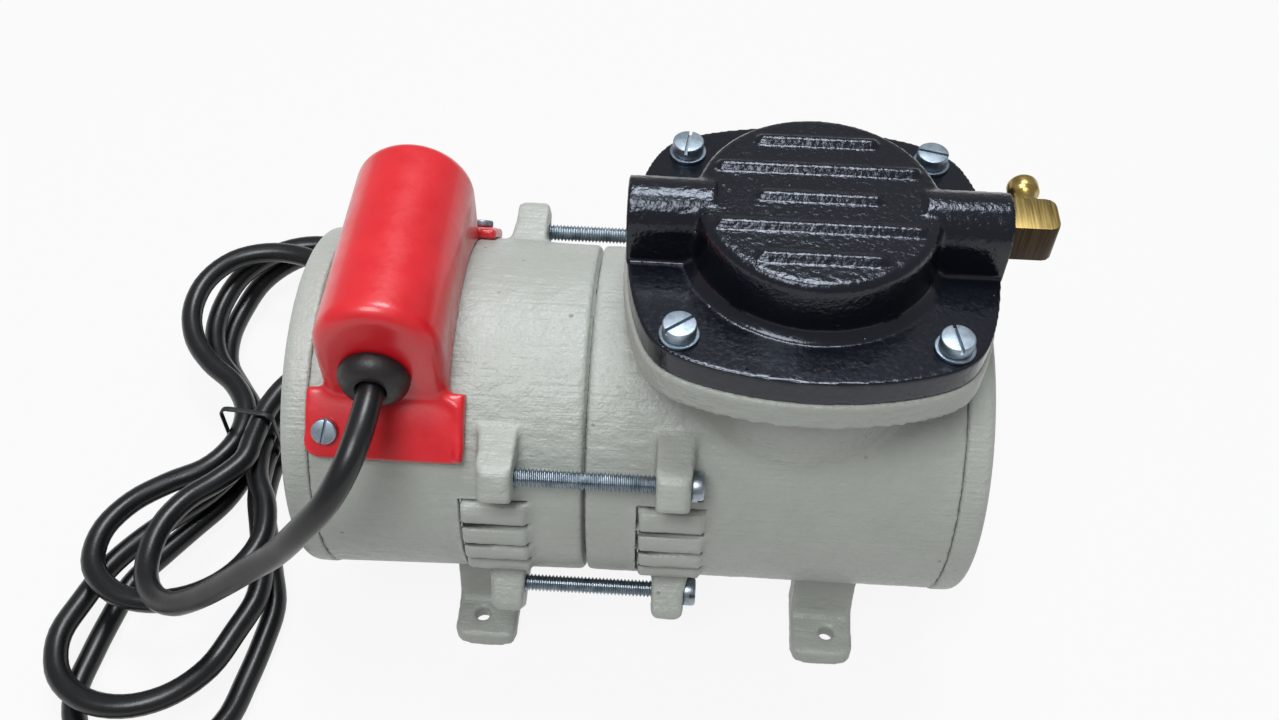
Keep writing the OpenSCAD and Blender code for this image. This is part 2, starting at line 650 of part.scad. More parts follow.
module valve_plate_gasket() color("#6e4d33") on_head(chamber_top_z + valve_plate_t) difference() {
    cylinder(r = valve_plate_r, h = gasket_t);
    for (m = [0, 1]) mirror([m, 0, 0]) difference() {
        translate([0, 0, -through]) cylinder(r = valve_plate_r - 3, h = 5);
        translate([-60 + 3, -30, -2]) cube([60, 60, 10]);
        for (s = [-1, 1]) translate([0, s * plate_screw_y, -2]) cylinder(r = 4.6, h = 10, $fn = 48);
    }
    for (s = [-1, 1]) translate([0, s * plate_screw_y, -through])
        cylinder(r = 1.5 + hole_gap, h = 5, $fn = 32);
}

module valve_plate_screws() color("#c4c8cc") on_head(chamber_top_z + plate_screw_seat) for (s = [-1, 1])
    translate([0, s * plate_screw_y, 0]) mirror([0, 0, 1])
        slotted_screw(1.5, valve_plate_t - plate_screw_seat + gasket_t + plate_screw_grip, 2.8, 1.9);

// A rubber disc that lifts along its stem
module valve_disc() ring(valve_r, stem_r + fit_gap, valve_t);

module inlet_valve() color("#8a3b2a") on_head(chamber_top_z + recess_d - valve_t)
    translate([-valve_x, 0, 0]) valve_disc();

module outlet_valve() color("#8a3b2a") on_head(chamber_top_z + valve_plate_t) translate([valve_x, 0, 0])
    valve_disc();

// Stems with heads that stop the discs
module valve_stems() color("#c4c8cc") on_head(chamber_top_z) {
    translate([-valve_x, 0, recess_d - valve_t - valve_lift - 0.8]) {
        cylinder(r = 3, h = 0.75);
        cylinder(r = stem_r, h = valve_t + valve_lift + 0.8 + valve_plate_t - recess_d + gasket_t, $fn =
            32);
    }
    translate([valve_x, 0, 0]) {
        cylinder(r = stem_r, h = valve_plate_t + valve_t + valve_lift + 0.8, $fn = 32);
        translate([0, 0, valve_plate_t + valve_t + valve_lift + 0.05]) cylinder(r = 3, h = 0.75);
    }
}

// Motor

slot_in_r = stator_bore_r + 3.2;
slot_out_r = slot_in_r + 8;
slot_in_half = 1.7;
slot_out_half = 2.75;

module stator_slot() {
    translate([stator_bore_r - 1, -0.9]) square([slot_in_r - stator_bore_r + 0.8, 1.8]);
    translate([slot_in_r, 0]) circle(r = slot_in_half, $fn = 24);
    polygon([[slot_in_r, -slot_in_half], [slot_out_r, -slot_out_half], [slot_out_r, slot_out_half],
        [slot_in_r, slot_in_half]]);
    translate([slot_out_r, 0]) circle(r = slot_out_half, $fn = 24);
}

module stator_core() color("#6f7479") on_shaft() along_x(-stator_half) linear_extrude(2 * stator_half)
    difference() {
    circle(r = stator_r);
    circle(r = stator_bore_r);
    for (k = [0:slots - 1]) rotate(k * 360 / slots) stator_slot();
    for (k = [0:3]) rotate(45 + 90 * k) translate([stator_r, 0]) circle(r = 1.5, $fn = 24);
}

leg_r = 1.55;
// Radii of the outer and inner coils' legs and end turns, and how far their ends reach
outer_leg_at = slot_out_r - 1.1;
inner_leg_at = slot_in_r + 2.9;
outer_turn_r = slot_out_r - 0.1;
inner_turn_r = slot_in_r + 1.4;
long_reach = 10;
short_reach = 3.9;
inner_reach = 7;
outer_bundle_r = 2.8;
inner_bundle_r = 2.6;

// One coil through two slots, its end turns at radius r and reaching past the stack
module coil(from, to, leg_at, r, reach, bundle_r) {
    step = 360 / slots;
    for (s = [from, to]) rotate(s * step) translate([leg_at, 0, -stator_half - reach])
        cylinder(r = leg_r, h = 2 * (stator_half + reach), $fn = 24);
    for (m = [-1, 1]) translate([0, 0, m * (stator_half + reach)]) rotate(from * step - 3)
        rotate_extrude(angle = (to - from) * step + 6) translate([r, 0]) circle(r = bundle_r, $fn = 24);
}

module stator_windings() color("#a5592b") on_shaft() along_x(0) for (k = [0:slots / 6 - 1]) {
    coil(6 * k, 6 * k + 5, outer_leg_at, outer_turn_r, long_reach, outer_bundle_r);
    coil(6 * k + 1, 6 * k + 4, outer_leg_at, outer_turn_r, short_reach, outer_bundle_r);
    coil(6 * k + 3, 6 * k + 8, inner_leg_at, inner_turn_r, inner_reach, inner_bundle_r);
}

cage_bars = 18;
bar_at = rotor_r - 3;
bar_r = 1.6;

module rotor_core() color("#7c8186") on_shaft() along_x(-stator_half) difference() {
    cylinder(r = rotor_r, h = 2 * stator_half);
    translate([0, 0, -through]) cylinder(r = shaft_r + 1 + fit_gap, h = 40);
    for (k = [0:cage_bars - 1]) rotate(k * 360 / cage_bars) translate([bar_at, 0, -through])
        cylinder(r = bar_r + 0.02, h = 40, $fn = 24);
}

module rotor_cage() color("#c9ccd0") on_shaft() along_x(-stator_half) {
    for (k = [0:cage_bars - 1]) rotate(k * 360 / cage_bars) translate([bar_at, 0, 0])
        cylinder(r = bar_r, h = 2 * stator_half, $fn = 24);
    for (z = [-4, 2 * stator_half]) translate([0, 0, z]) ring(rotor_r - 0.4, rotor_r - 7, 4);
    for (m = [0, 1], k = [0:5]) translate([0, 0, m * 2 * stator_half]) mirror([0, 0, 1 - m])
        rotate(k * 60) translate([bar_at - 0.5, 0, 3.9]) cylinder(r = 1.8, h = 3, $fn = 32);
}

module motor_shaft() color("#b4b8bc") on_shaft() difference() {
    turned([[rear_bearing_x - bearing_w - 1, 0], [rear_bearing_x - bearing_w - 1, shaft_r - 0.6],
        [rear_bearing_x - bearing_w - 0.4, shaft_r], [rear_bearing_x, shaft_r],
            [rear_bearing_x, shaft_r + 1],
        [front_bearing_x - bearing_w, shaft_r + 1], [front_bearing_x - bearing_w, shaft_r],
        [front_bearing_x + 0.1, shaft_r], [front_bearing_x + 0.1, shaft_r - 0.5],
            [front_bearing_x + 1.2, shaft_r - 0.5],
        [front_bearing_x + 1.2, shaft_r], [head_x + shaft_tail - 0.6, shaft_r],
            [head_x + shaft_tail, shaft_r - 0.6],
        [head_x + shaft_tail, 0]]);
    translate([front_bearing_x + 1.8, -10, -shaft_r - 20 + shaft_flat]) cube([6, 20, 20]);
}

fan_x = rear_bearing_x + 10;
fan_hub_r = 9;
fan_hub_l = 14;
fan_disc_t = 1.8;
blade_h = 8.5;
blade_r = 22;
blade_t = 1.6;
blade_in_r = 12;

// A disc with blades that are bent across its radius
module cooling_fan() color("#33363a") on_shaft() along_x(fan_x) difference() {
    union() {
        cylinder(r = fan_hub_r, h = fan_hub_l);
        cylinder(r = fan_r, h = fan_disc_t);
        for (k = [0:fan_blades - 1]) rotate(k * 360 / fan_blades) intersection() {
            translate([blade_r, -12, fan_disc_t - 0.3]) ring(blade_r, blade_r - blade_t, blade_h);
            translate([blade_in_r, -14, 0]) cube([fan_r - blade_in_r - 2, 30, fan_disc_t + blade_h]);
            cylinder(r = fan_r, h = fan_disc_t + blade_h + 1);
        }
    }
    translate([0, 0, -through]) cylinder(r = shaft_r + 1 + fit_gap, h = fan_hub_l + 2 * through);
}

// Bearings, standing on the XY plane round Z

module race_outer(r_out, pitch_r, w) difference() {
    ring(r_out, pitch_r + 0.75 * ball_r, w);
    translate([0, 0, w / 2]) rotate_extrude() translate([pitch_r, 0]) circle(r = ball_r + 0.06, $fn = 48);
}

module race_inner(r_in, pitch_r, w) difference() {
    ring(pitch_r - 0.75 * ball_r, r_in, w);
    translate([0, 0, w / 2]) rotate_extrude() translate([pitch_r, 0]) circle(r = ball_r + 0.06, $fn = 48);
}

module ball_cage(pitch_r, w, balls) translate([0, 0, w / 2]) {
    for (k = [0:balls - 1]) rotate(k * 360 / balls) translate([pitch_r, 0, 0]) sphere(r = ball_r, $fn = 32);
    difference() {
        translate([0, 0, -w * 0.36]) ring(pitch_r + 0.7, pitch_r - 0.7, w * 0.72);
        for (k = [0:balls - 1]) rotate(k * 360 / balls) translate([pitch_r - 3, 0, 0]) rotate([0, 90, 0])
            cylinder(r = ball_r + 0.1, h = 6, $fn = 48);
    }
}

shaft_pitch_r = (bearing_r + shaft_r) / 2;
rod_pitch_r = (rod_bearing_r + rod_bearing_bore) / 2;

module rear_bearing_outer() color("#cdd1d4") on_shaft() along_x(rear_bearing_x - bearing_w)
    race_outer(bearing_r, shaft_pitch_r, bearing_w);
module rear_bearing_inner() color("#cdd1d4") on_shaft() along_x(rear_bearing_x - bearing_w)
    race_inner(shaft_r + press_gap, shaft_pitch_r, bearing_w);
module rear_bearing_cage() color("#e2e4e6") on_shaft() along_x(rear_bearing_x - bearing_w)
    ball_cage(shaft_pitch_r, bearing_w, 8);
module front_bearing_outer() color("#cdd1d4") on_shaft() along_x(front_bearing_x - bearing_w)
    race_outer(bearing_r, shaft_pitch_r, bearing_w);
module front_bearing_inner() color("#cdd1d4") on_shaft() along_x(front_bearing_x - bearing_w)
    race_inner(shaft_r + press_gap, shaft_pitch_r, bearing_w);
module front_bearing_cage() color("#e2e4e6") on_shaft() along_x(front_bearing_x - bearing_w)
    ball_cage(shaft_pitch_r, bearing_w, 8);

module preload_washer() color("#9aa0a6") on_shaft() along_x(rear_bearing_x - bearing_w - washer_t)
    ring(bearing_r - 0.2, bearing_r - 2.5, washer_t);

module shaft_circlip() color("#8d9398") on_shaft() along_x(front_bearing_x + 0.15) difference() {
    ring(shaft_r + 1.6, shaft_r - 0.45, 1);
    translate([0, -1.5, -through]) cube([20, 3, 5]);
}

// Eccentric and connecting rod; at rest the eccentric points down

rod_plane_x = head_x - rod_bearing_w / 2;

// The eccentric's hub, its counterweight and its set screw
hub_x = front_bearing_x + 1.6;
hub_r = 9;
weight_r = 24;
weight_t = 4.4;
weight_half_y = 20;
set_screw_x = front_bearing_x + 4.6;
set_screw_r = 2;
set_screw_l = 4.2;

module eccentric() color("#8f9499") on_shaft() difference() {
    union() {
        translate([0, 0, -throw]) along_x(rod_plane_x - 0.6)
            cylinder(r = rod_bearing_bore - press_gap, h = rod_bearing_w + 1.8);
        translate([0, 0, -throw]) along_x(rod_plane_x - 1.2) cylinder(r = rod_bearing_bore + 1.6, h = 1.1);
        along_x(hub_x) cylinder(r = hub_r, h = rod_plane_x - hub_x - 0.1);
        along_x(hub_x + 0.6) intersection() {
            cylinder(r = weight_r, h = weight_t);
            translate([-weight_r - through, -weight_half_y, -through])
                cube([weight_r + through, 2 * weight_half_y, weight_t + 2 * through]);
        }
    }
    along_x(front_bearing_x) cylinder(r = shaft_r + press_gap, h = 40);
    translate([set_screw_x, 0, -weight_half_y]) cylinder(r = set_screw_r + fit_gap, h = weight_half_y,
        $fn = 48);
}

module eccentric_set_screw() color("#55595e") on_shaft()
    translate([set_screw_x, 0, -shaft_r + shaft_flat - 0.1 - set_screw_l]) difference() {
        cylinder(r = set_screw_r, h = set_screw_l, $fn = 48);
        translate([0, 0, -through]) cylinder(r = 1.1, h = 1.6 + through, $fn = 6);
    }

module rod_bearing_outer() color("#cdd1d4") on_shaft() translate([0, 0, -throw]) along_x(rod_plane_x)
    race_outer(rod_bearing_r, rod_pitch_r, rod_bearing_w);
module rod_bearing_inner() color("#cdd1d4") on_shaft() translate([0, 0, -throw]) along_x(rod_plane_x)
    race_inner(rod_bearing_bore, rod_pitch_r, rod_bearing_w);
module rod_bearing_cage() color("#e2e4e6") on_shaft() translate([0, 0, -throw]) along_x(rod_plane_x)
    ball_cage(rod_pitch_r, rod_bearing_w, 11);

module connecting_rod() color("#aeb2b6") {
    top_z = mid_z - disc_t;
    big_r = rod_bearing_r + 4;
    blade_half_y = 8;
    cap_r = 15;
    cap_h = 5;
    flute_r = 4.5;
    difference() {
        union() {
            on_shaft() translate([0, 0, -throw]) along_x(rod_plane_x)
                cylinder(r = big_r, h = rod_bearing_w);
            on_head() translate([-rod_bearing_w / 2, -blade_half_y, big_r - 4])
                cube([rod_bearing_w, 2 * blade_half_y, top_z - big_r - 1]);
            on_head(top_z - cap_h) rotate_extrude()
                polygon([[0, 0], [cap_r - 6, 0], [cap_r, cap_h], [0, cap_h]]);
        }
        on_shaft() translate([0, 0, -throw]) along_x(rod_plane_x - through)
            cylinder(r = rod_bearing_r + press_gap, h = rod_bearing_w + 2 * through);
        on_head(mid_z + rubber_t + disc_t - clamp_screw_l - 4)
            cylinder(r = 2.5 + fit_gap, h = 20, $fn = 48);
        for (s = [-1, 1]) on_head() translate([s * (rod_bearing_w / 2 + 1.6) - 2.6, -flute_r, big_r + 3])
            cube([5.2, 2 * flute_r, top_z - big_r - 14]);
    }
}

// Capacitor, its cover, the grommet and the outlet fitting

// A tunnel with a round top and rounded ends, its foot at z 0 and its crown at z
module tunnel(w, half_y, z, edge) {
    r = w / 2;
    spring = z - r;
    translate([-r, -half_y + edge, 0]) cube([w, 2 * (half_y - edge), spring]);
    translate([-r + edge, -half_y, 0]) cube([w - 2 * edge, 2 * half_y, spring]);
    translate([0, 0, spring]) rotate([90, 0, 0]) {
        translate([0, 0, -half_y + edge]) cylinder(r = r, h = 2 * (half_y - edge));
        translate([0, 0, -half_y]) cylinder(r = r - edge, h = 2 * half_y);
        for (s = [-1, 1]) translate([0, 0, s * (half_y - edge)]) rotate_extrude()
            translate([r - edge, 0]) circle(r = edge, $fn = 48);
    }
    for (x = [-1, 1], y = [-1, 1]) translate([x * (r - edge), y * (half_y - edge), 0])
        cylinder(r = edge, h = spring, $fn = 48);
}

module cap_flange() intersection() {
    arc_band(-cap_x - cap_flange_w / 2, -cap_x + cap_flange_w / 2, casing_r - 6,
        casing_r_at(-cap_x) + cap_flange_t, cap_screw_a - 9, 54);
    at_angle(cap_screw_a) translate([casing_r - 12, 0, -cap_x]) rotate([0, 90, 0]) linear_extrude(24)
        polygon(rounded([[-cap_flange_w / 2, -30, 0], [cap_flange_w / 2, -30, 0],
            [cap_flange_w / 2, 7.4, 3.5], [-cap_flange_w / 2, 7.4, 3.5]]));
}

module capacitor_cover() color("#d3262c") on_shaft() {
    difference() {
        union() {
            translate([-cap_x, 0, 20]) tunnel(cap_w, cap_half_y, cap_z - 20, cap_edge_r);
            for (turn = [0, 180]) translate([-cap_x, 0, 0]) rotate(turn) translate([cap_x, 0, 0])
                cap_flange();
        }
        translate([-cap_x, 0, 20]) tunnel(cap_w - 2 * cap_wall, cap_half_y - cap_wall,
            cap_z - 20 - cap_wall, cap_edge_r - cap_wall);
        turned([[0, 0], [0, casing_r + seat_gap], [-motor_len, motor_end_r + seat_gap], [-motor_len, 0]]);
        for (turn = [0, 180]) translate([-cap_x, 0, 0]) rotate(turn) translate([cap_x, 0, 0])
            at_angle(cap_screw_a) translate([casing_r - 8, 0, -cap_x - cap_screw_dx]) rotate([0, 90, 0])
                cylinder(r = cap_screw_r + hole_gap, h = 14, $fn = 48);
        translate([-cap_x - grommet_dx, 0, grommet_z]) rotate([90, 0, 0])
            cylinder(r = grommet_neck_r + fit_gap, h = 60, $fn = 64);
    }
}

grommet_dx = 1.2;
grommet_neck_r = 6.3;
// The part of the grommet inside the cover's wall
grommet_lip_r = 7.6;
grommet_lip_t = 1.5;

module capacitor_cover_screws() color("#c4c8cc") on_shaft() for (turn = [0, 180])
    translate([-cap_x, 0, 0]) rotate(turn) translate([cap_x, 0, 0])
        at_angle(cap_screw_a) translate([casing_r_at(-cap_x) + cap_flange_t, 0, -cap_x - cap_screw_dx])
            rotate([0, 90, 0])
            slotted_screw(cap_screw_r, 8.5, 3.4, 2);

module capacitor() color("#d9d9d4") on_shaft()
    translate([-cap_x, 26.5, casing_r_at(-cap_x) + 0.3 + capacitor_r]) rotate([90, 0, 0]) {
    rotate_extrude() polygon(rounded([[0, 0, 0], [capacitor_r, 0, 1], [capacitor_r, capacitor_l, 1],
        [0, capacitor_l, 0]]));
    for (s = [-1, 1]) translate([s * 4 - 0.4, -3.1, capacitor_l - 0.1]) cube([0.8, 6.2, 5]);
}

module cord_grommet() color("#1b1b1b") on_shaft()
    translate([-cap_x - grommet_dx, -cap_half_y, grommet_z]) rotate([90, 0, 0]) difference() {
    union() {
        rotate_extrude() polygon(rounded([[0, 0.1, 0], [grommet_r, 0.1, 0.8],
            [grommet_r - 0.4, grommet_h * 0.55, 2.6],
            [cord_r + 2.6, grommet_h, 1.4], [0, grommet_h, 0]]));
        translate([0, 0, -cap_wall - 0.2]) cylinder(r = grommet_neck_r, h = cap_wall + 0.5);
        translate([0, 0, -cap_wall - grommet_lip_t - 0.1]) cylinder(r = grommet_lip_r, h = grommet_lip_t);
    }
    translate([0, 0, -10]) cylinder(r = cord_r + fit_gap, h = 30, $fn = 64);
}

elbow_x = flange_half_x + 0.1;

module outlet_elbow() color("#b08d3c") on_head(port_z) difference() {
    union() {
        translate([elbow_x, 0, -elbow_side / 2]) linear_extrude(elbow_side)
            polygon(rounded([[0, -elbow_side / 2, 0], [elbow_len, -elbow_side / 2, 2.5],
                [elbow_len, elbow_side / 2, 2.5], [0, elbow_side / 2, 0]]));
        along_x(flange_half_x - 9) cylinder(r = port_hole_r - fit_gap, h = 9.2, $fn = 64);
    }
    along_x(flange_half_x - 10) cylinder(r = 2.2, h = 10 + elbow_len / 2, $fn = 48);
    translate([elbow_x + elbow_len / 2, 0, 0]) rotate([-90, 0, 0]) cylinder(r = 2.2, h = 20, $fn = 48);
    translate([elbow_x + elbow_len / 2, elbow_side / 2 - 3, 0]) rotate([-90, 0, 0])
        cylinder(r = 2.7, h = 20, $fn = 48);
}

module hose_nozzle() color("#b08d3c") on_head(port_z)
    translate([elbow_x + elbow_len / 2, elbow_side / 2, 0]) rotate([-90, 0, 0])
    rotate_extrude() polygon(rounded([[1.7, -3, 0], [2.65, -3, 0], [2.65, 0.05, 0], [4.3, 0.05, 0.4],
        [4.3, 1.6, 0.4],
        [nozzle_neck_r, 2.6, 0], [nozzle_neck_r, 6.4, 0.5], [nozzle_tip_r, 7.2, 0.4],
        [nozzle_tip_r, nozzle_reach - elbow_side / 2 - 1, 0.8],
        [nozzle_tip_r - 1.2, nozzle_reach - elbow_side / 2, 0], [1.7, nozzle_reach - elbow_side / 2, 0]],
            3));

// Cord. It is 3.5 loops of a tied hank beside the motor, a lead up to the grommet and an end
// with a plug behind the casings. Its points are measured from the joint and from the floor.

// Middle of the hank's tied waist
waist = [-117.5, 14];
// Half distance between the two lanes of strands at the waist
lane = 4.4;
// Turn of the hank away from straight across the shaft
hank_turn = -6;
// Bend radius where the strands spread out from the waist
flare_r = 26;
// Distance from one ring of the cord's skin to the next
ring_step = 13;
// Straight length of cord at each end of the hank
hank_end = 8;
// The hank's bights in turn: side, radius, reach, start and end of the flare, sweep to the side,
// height at start and end, sag at its far end
bights = [
    [1, 30, 78, 14, 35, 16, 28.7, 20.7, 0],
    [-1, 24, 68, 13, 32, -17, 20.7, 20.7, 0],
    [1, 32, 90, 14, 40, 3, 20.7, 12.7, 0],
    [-1, 25, 98, 13, 50, -10, 12.7, 12.7, 0],
    [1, 32, 97, 14, 42, -3, 12.7, 4.7, 0],
    [-1, 25, 110, 13, 54, -2, 4.7, 4.7, 0.9]];

// From the grommet forwards, down to the left and round into the hank
lead_route = [[-53.8, -31, 114.3], [-53.8, -44, 114.3], [-56, -56, 110.5], [-62, -63, 101], [-71, -65, 89],
    [-80, -64, 76], [-90, -63, 65], [-100, -62, 54], [-110, -61, 44], [-120, -59, 36], [-129, -53, 31],
    [-134, -43, 29], [-134, -30, 29], [-129, -19, 29], [-121, -11, 29]];

// From the hank along the floor behind the motor to the plug
tail_route = [[-107, 42, 4.5], [-100, 54, 4], [-90, 63, 3.8], [-77, 69, 3.8], [-64, 72, 6],
    [-52, 72, 11], [-40, 72, 16], [-28, 72, 18], [-20, 72, 18]];

function swung(p, deg) = [cos(deg) * p.x - sin(deg) * p.y, sin(deg) * p.x + cos(deg) * p.y];
function smooth(t) = let (c = max(0, min(1, t))) c * c * (3 - 2 * c);
function lengths(pts) = [for (i = 0, s = 0; i < len(pts);
    s = s + (i + 1 < len(pts) ? norm(pts[i + 1] - pts[i]) : 0), i = i + 1) s];

// Half of a bight in plan: straight at the waist, flared out, then a quarter of its round end
function bight_half(b) = concat([[lane, 0]],
    corner_arc([lane, 0], [lane, b[3]], [b[1], b[4]], flare_r, 4),
    corner_arc([lane, b[3]], [b[1], b[4]], [b[1], b[2]], flare_r, 4),
    corner_arc([b[1], b[4]], [b[1], b[2]], [0, b[2]], b[1] - 0.01, 8));
function bight_plan(b) = let (h = bight_half(b)) concat(h, [for (i = [len(h) - 2:-1:1]) [-h[i].x, h[i].y]]);

// A bight in space, climbing down a layer in its second half
function bight(b) = let (plan = bight_plan(b), s = lengths(plan), total = s[len(s) - 1] + b[3])
    [for (i = [0:len(plan) - 1])
        let (p = plan[i], q = swung([b[0] * p.x, b[0] * p.y], b[5] * p.y / b[2] + hank_turn))
        [waist.x + q.x, waist.y + q.y,
            b[6] + (b[7] - b[6]) * smooth((s[i] / total - 0.45) / 0.4) - b[8] *
                smooth((p.y / b[2] - 0.35) / 0.6)]];

function spread(pts, step) = let (s = lengths(pts), total = s[len(s) - 1], n = round(total / step),
        keep = [for (i = [0:len(pts) - 1]) if (i == 0 || s[i] > s[i - 1] + 0.01) i])
    [for (i = [0:n]) [for (k = [0:2]) lookup(total * i / n, [for (j = keep) [s[j], pts[j][k]]])]];

along_hank = concat(swung([0, 1], hank_turn), [0]);
hank_first = concat(waist + swung([lane, 0], hank_turn), [bights[0][6]]);
hank_last = concat(waist + swung([lane, 0], hank_turn), [bights[5][7]]);
hank_rings = spread(concat([hank_first - hank_end * along_hank], [for (b = bights) each bight(b)],
    [hank_last, hank_last + hank_end * along_hank]), ring_step);
// A ring 3 mm inside each end keeps the end faces square to the cord
hank_path = concat([hank_rings[0], hank_rings[0] + 3 * along_hank],
    [for (i = [1:len(hank_rings) - 2]) hank_rings[i]],
    [hank_rings[len(hank_rings) - 1] - 3 * along_hank, hank_rings[len(hank_rings) - 1]]);
lead_path = concat(lead_route, [hank_path[0] - 8 * along_hank, hank_path[0]]);
tail_path = concat([hank_path[len(hank_path) - 1], hank_path[len(hank_path) - 1] + 8 * along_hank],
    tail_route);

// Least gap of the hank to itself, from the middle lines of strands that are far apart along it
hank_fine = spread(hank_path, 3);
hank_gap = min([for (i = [0:len(hank_fine) - 1]) for (j = [i + 11:1:len(hank_fine) - 1])
    norm(hank_fine[i] - hank_fine[j])]) - 2 * cord_r;
echo(hank_gap = hank_gap, rings = len(hank_path));  // cord_hank

// A round tube along a path
module tube(path, r, sides) {
    n = len(path);
    up = [0, 0, 1];
    rings = [for (i = [0:n - 1]) let (a = path[max(0, i - 1)], b = path[min(n - 1, i + 1)],
            t = (b - a) / norm(b - a), u = cross(t, up) / norm(cross(t, up)), v = cross(u, t))
        each [for (k = [0:sides - 1]) path[i] + r * (cos(360 * k / sides) * u + sin(360 * k / sides) * v)]];
    skin = [for (i = [0:n - 2], k = [0:sides - 1]) let (a = i * sides + k, b = i * sides + (k + 1) % sides)
        each [[a, b, a + sides], [b, b + sides, a + sides]]];
    ends = [for (k = [1:sides - 2])
        each [[0, k + 1, k], [(n - 1) * sides, (n - 1) * sides + k, (n - 1) * sides + k + 1]]];
    polyhedron(rings, concat(skin, ends));
}

module on_floor() translate([joint_x, 0, 0]) children();

module mains_cord() color("#1c1c1e") on_floor() tube(lead_path, cord_r, 8);

module cord_hank() color("#1c1c1e") on_floor() tube(hank_path, cord_r, 6);

module cord_tail() color("#1c1c1e") on_floor() tube(tail_path, cord_r, 8);

// A wire tie round the hank's waist
module cord_tie() color("#202022") on_floor() translate([waist.x, waist.y, 0]) rotate(hank_turn)
    translate([0, 1, 0]) rotate([90, 0, 0]) linear_extrude(2) {
        top = bights[0][6] + cord_r + 1.2;
        half = lane + cord_r + 1.3;
        difference() {
            polygon(rounded([[-half, 0.1, 3.6], [half, 0.1, 3.6], [half, top, 3.6], [-half, top, 3.6]], 6));
            polygon(rounded([[-half + 0.7, 0.8, 3], [half - 0.7, 0.8, 3], [half - 0.7, top - 0.7, 3],
                [-half + 0.7, top - 0.7, 3]], 6));
        }
        translate([half - 0.1, 12]) square([5, 1.2]);
    }

plug_x = -28.3;
plug_y = 72;
plug_z = 18;

module on_plug() on_floor() translate([plug_x, plug_y, plug_z]) rotate([0, 90, 0]) children();

module plug_body() color("#1c1c1e") on_plug() difference() {
    rotate_extrude() polygon(rounded([[0, 8, 0], [cord_r + 1.2, 0, 0], [7, 30, 6], [12.5, 34, 4],
        [14, 46, 6],
        [17.8, 52, 2], [17.8, 66, 1], [0, 66, 0]]));
    translate([0, 0, -through]) cylinder(r = cord_r + fit_gap, h = 10);
    for (s = [-1, 1]) translate([0, s * 9.5, 56]) cylinder(r = 2.4 + fit_gap, h = 12, $fn = 48);
}

module plug_pins() color("#c9c6bd") on_plug() for (s = [-1, 1]) translate([0, s * 9.5, 56])
    rotate_extrude() polygon(rounded([[0, 0, 0], [2.4, 0, 0], [2.4, 29, 1.5], [0, 29, 0]]));

motor_housing();
crankcase_housing();
motor_end_cover();
crankcase_end_cover();
end_cover_screws();
tie_bolts();
stator_core();
stator_windings();
rotor_core();
rotor_cage();
motor_shaft();
cooling_fan();
rear_bearing_outer();
rear_bearing_inner();
rear_bearing_cage();
front_bearing_outer();
front_bearing_inner();
front_bearing_cage();
preload_washer();
shaft_circlip();
eccentric();
eccentric_set_screw();
rod_bearing_outer();
rod_bearing_inner();
rod_bearing_cage();
connecting_rod();
diaphragm();
lower_clamp_disc();
upper_clamp_disc();
clamp_screw();
valve_plate();
valve_plate_gasket();
valve_plate_screws();
inlet_valve();
outlet_valve();
valve_stems();
pump_head();
head_screws();
head_washers();
capacitor();
capacitor_cover();
capacitor_cover_screws();
cord_grommet();
outlet_elbow();
hose_nozzle();
mains_cord();
cord_hank();
cord_tail();
cord_tie();
plug_body();
plug_pins();
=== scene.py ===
# %% [markdown]
# A diaphragm vacuum pump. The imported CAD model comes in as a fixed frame, in metres, and this
# notebook dresses it: cast skins, turned brass, threads, rubber and a soft lead. Everything sits
# where the frame says, so nothing has to be fitted by eye.

# %% Frame
import json
import math
import bpy
from mathutils import Matrix, Vector


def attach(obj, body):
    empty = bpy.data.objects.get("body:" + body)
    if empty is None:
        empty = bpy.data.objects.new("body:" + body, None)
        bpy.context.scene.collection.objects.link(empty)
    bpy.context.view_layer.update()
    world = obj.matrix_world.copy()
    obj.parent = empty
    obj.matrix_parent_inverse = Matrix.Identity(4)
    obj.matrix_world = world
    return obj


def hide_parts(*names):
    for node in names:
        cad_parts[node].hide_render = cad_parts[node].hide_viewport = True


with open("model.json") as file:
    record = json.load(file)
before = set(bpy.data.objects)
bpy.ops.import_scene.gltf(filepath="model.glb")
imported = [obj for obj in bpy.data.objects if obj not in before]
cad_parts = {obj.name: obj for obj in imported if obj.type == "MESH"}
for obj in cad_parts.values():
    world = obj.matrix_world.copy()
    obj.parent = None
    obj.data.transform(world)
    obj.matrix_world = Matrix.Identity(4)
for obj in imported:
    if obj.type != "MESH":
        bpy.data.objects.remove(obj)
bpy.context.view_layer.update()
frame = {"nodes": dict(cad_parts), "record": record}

# %% [markdown]
# The joint between the two casings is the natural zero for lengths along the shaft. Every place
# could be typed in the frame's metres, but the drawing's millimetres are easier to check, so one
# short helper turns them into the frame's. Another selects pieces, which nearly every step needs.

# %% Places
MM = 0.001
JOINT_X = -20.45    # the casings' joint, from the frame's zero
AXIS_H = 64.0       # the shaft, above the floor
HEAD_X = 56.3       # the middle of the pump head, from the joint
BARREL_R = 48.2     # the outside of the casings


def at(x, y, z):
    """A point in the frame from millimetres: x from the casings' joint, z from the floor."""
    return Vector(((x + JOINT_X) * MM, y * MM, z * MM))


slot_of = {part["node"]: part["material_slot"] for part in frame["record"]["subparts"]}
print(len(slot_of), "CAD pieces, the shaft", AXIS_H, "mm above the floor")


def only(*pieces):
    """Selects these pieces alone, the first of them active, because an operator acts on all that is
    selected."""
    bpy.ops.object.select_all(action="DESELECT")
    for piece in pieces:
        piece.select_set(True)
    if pieces:
        bpy.context.view_layer.objects.active = pieces[0]


# %% [markdown]
# The camera looks down on the pump from the front, as the photographer did: about 50 degrees
# down, a mild tele lens, and a touch of roll. It could be aimed with a constraint, but its turn was
# solved from the pump's straight edges, so its three directions are written down as they came out.

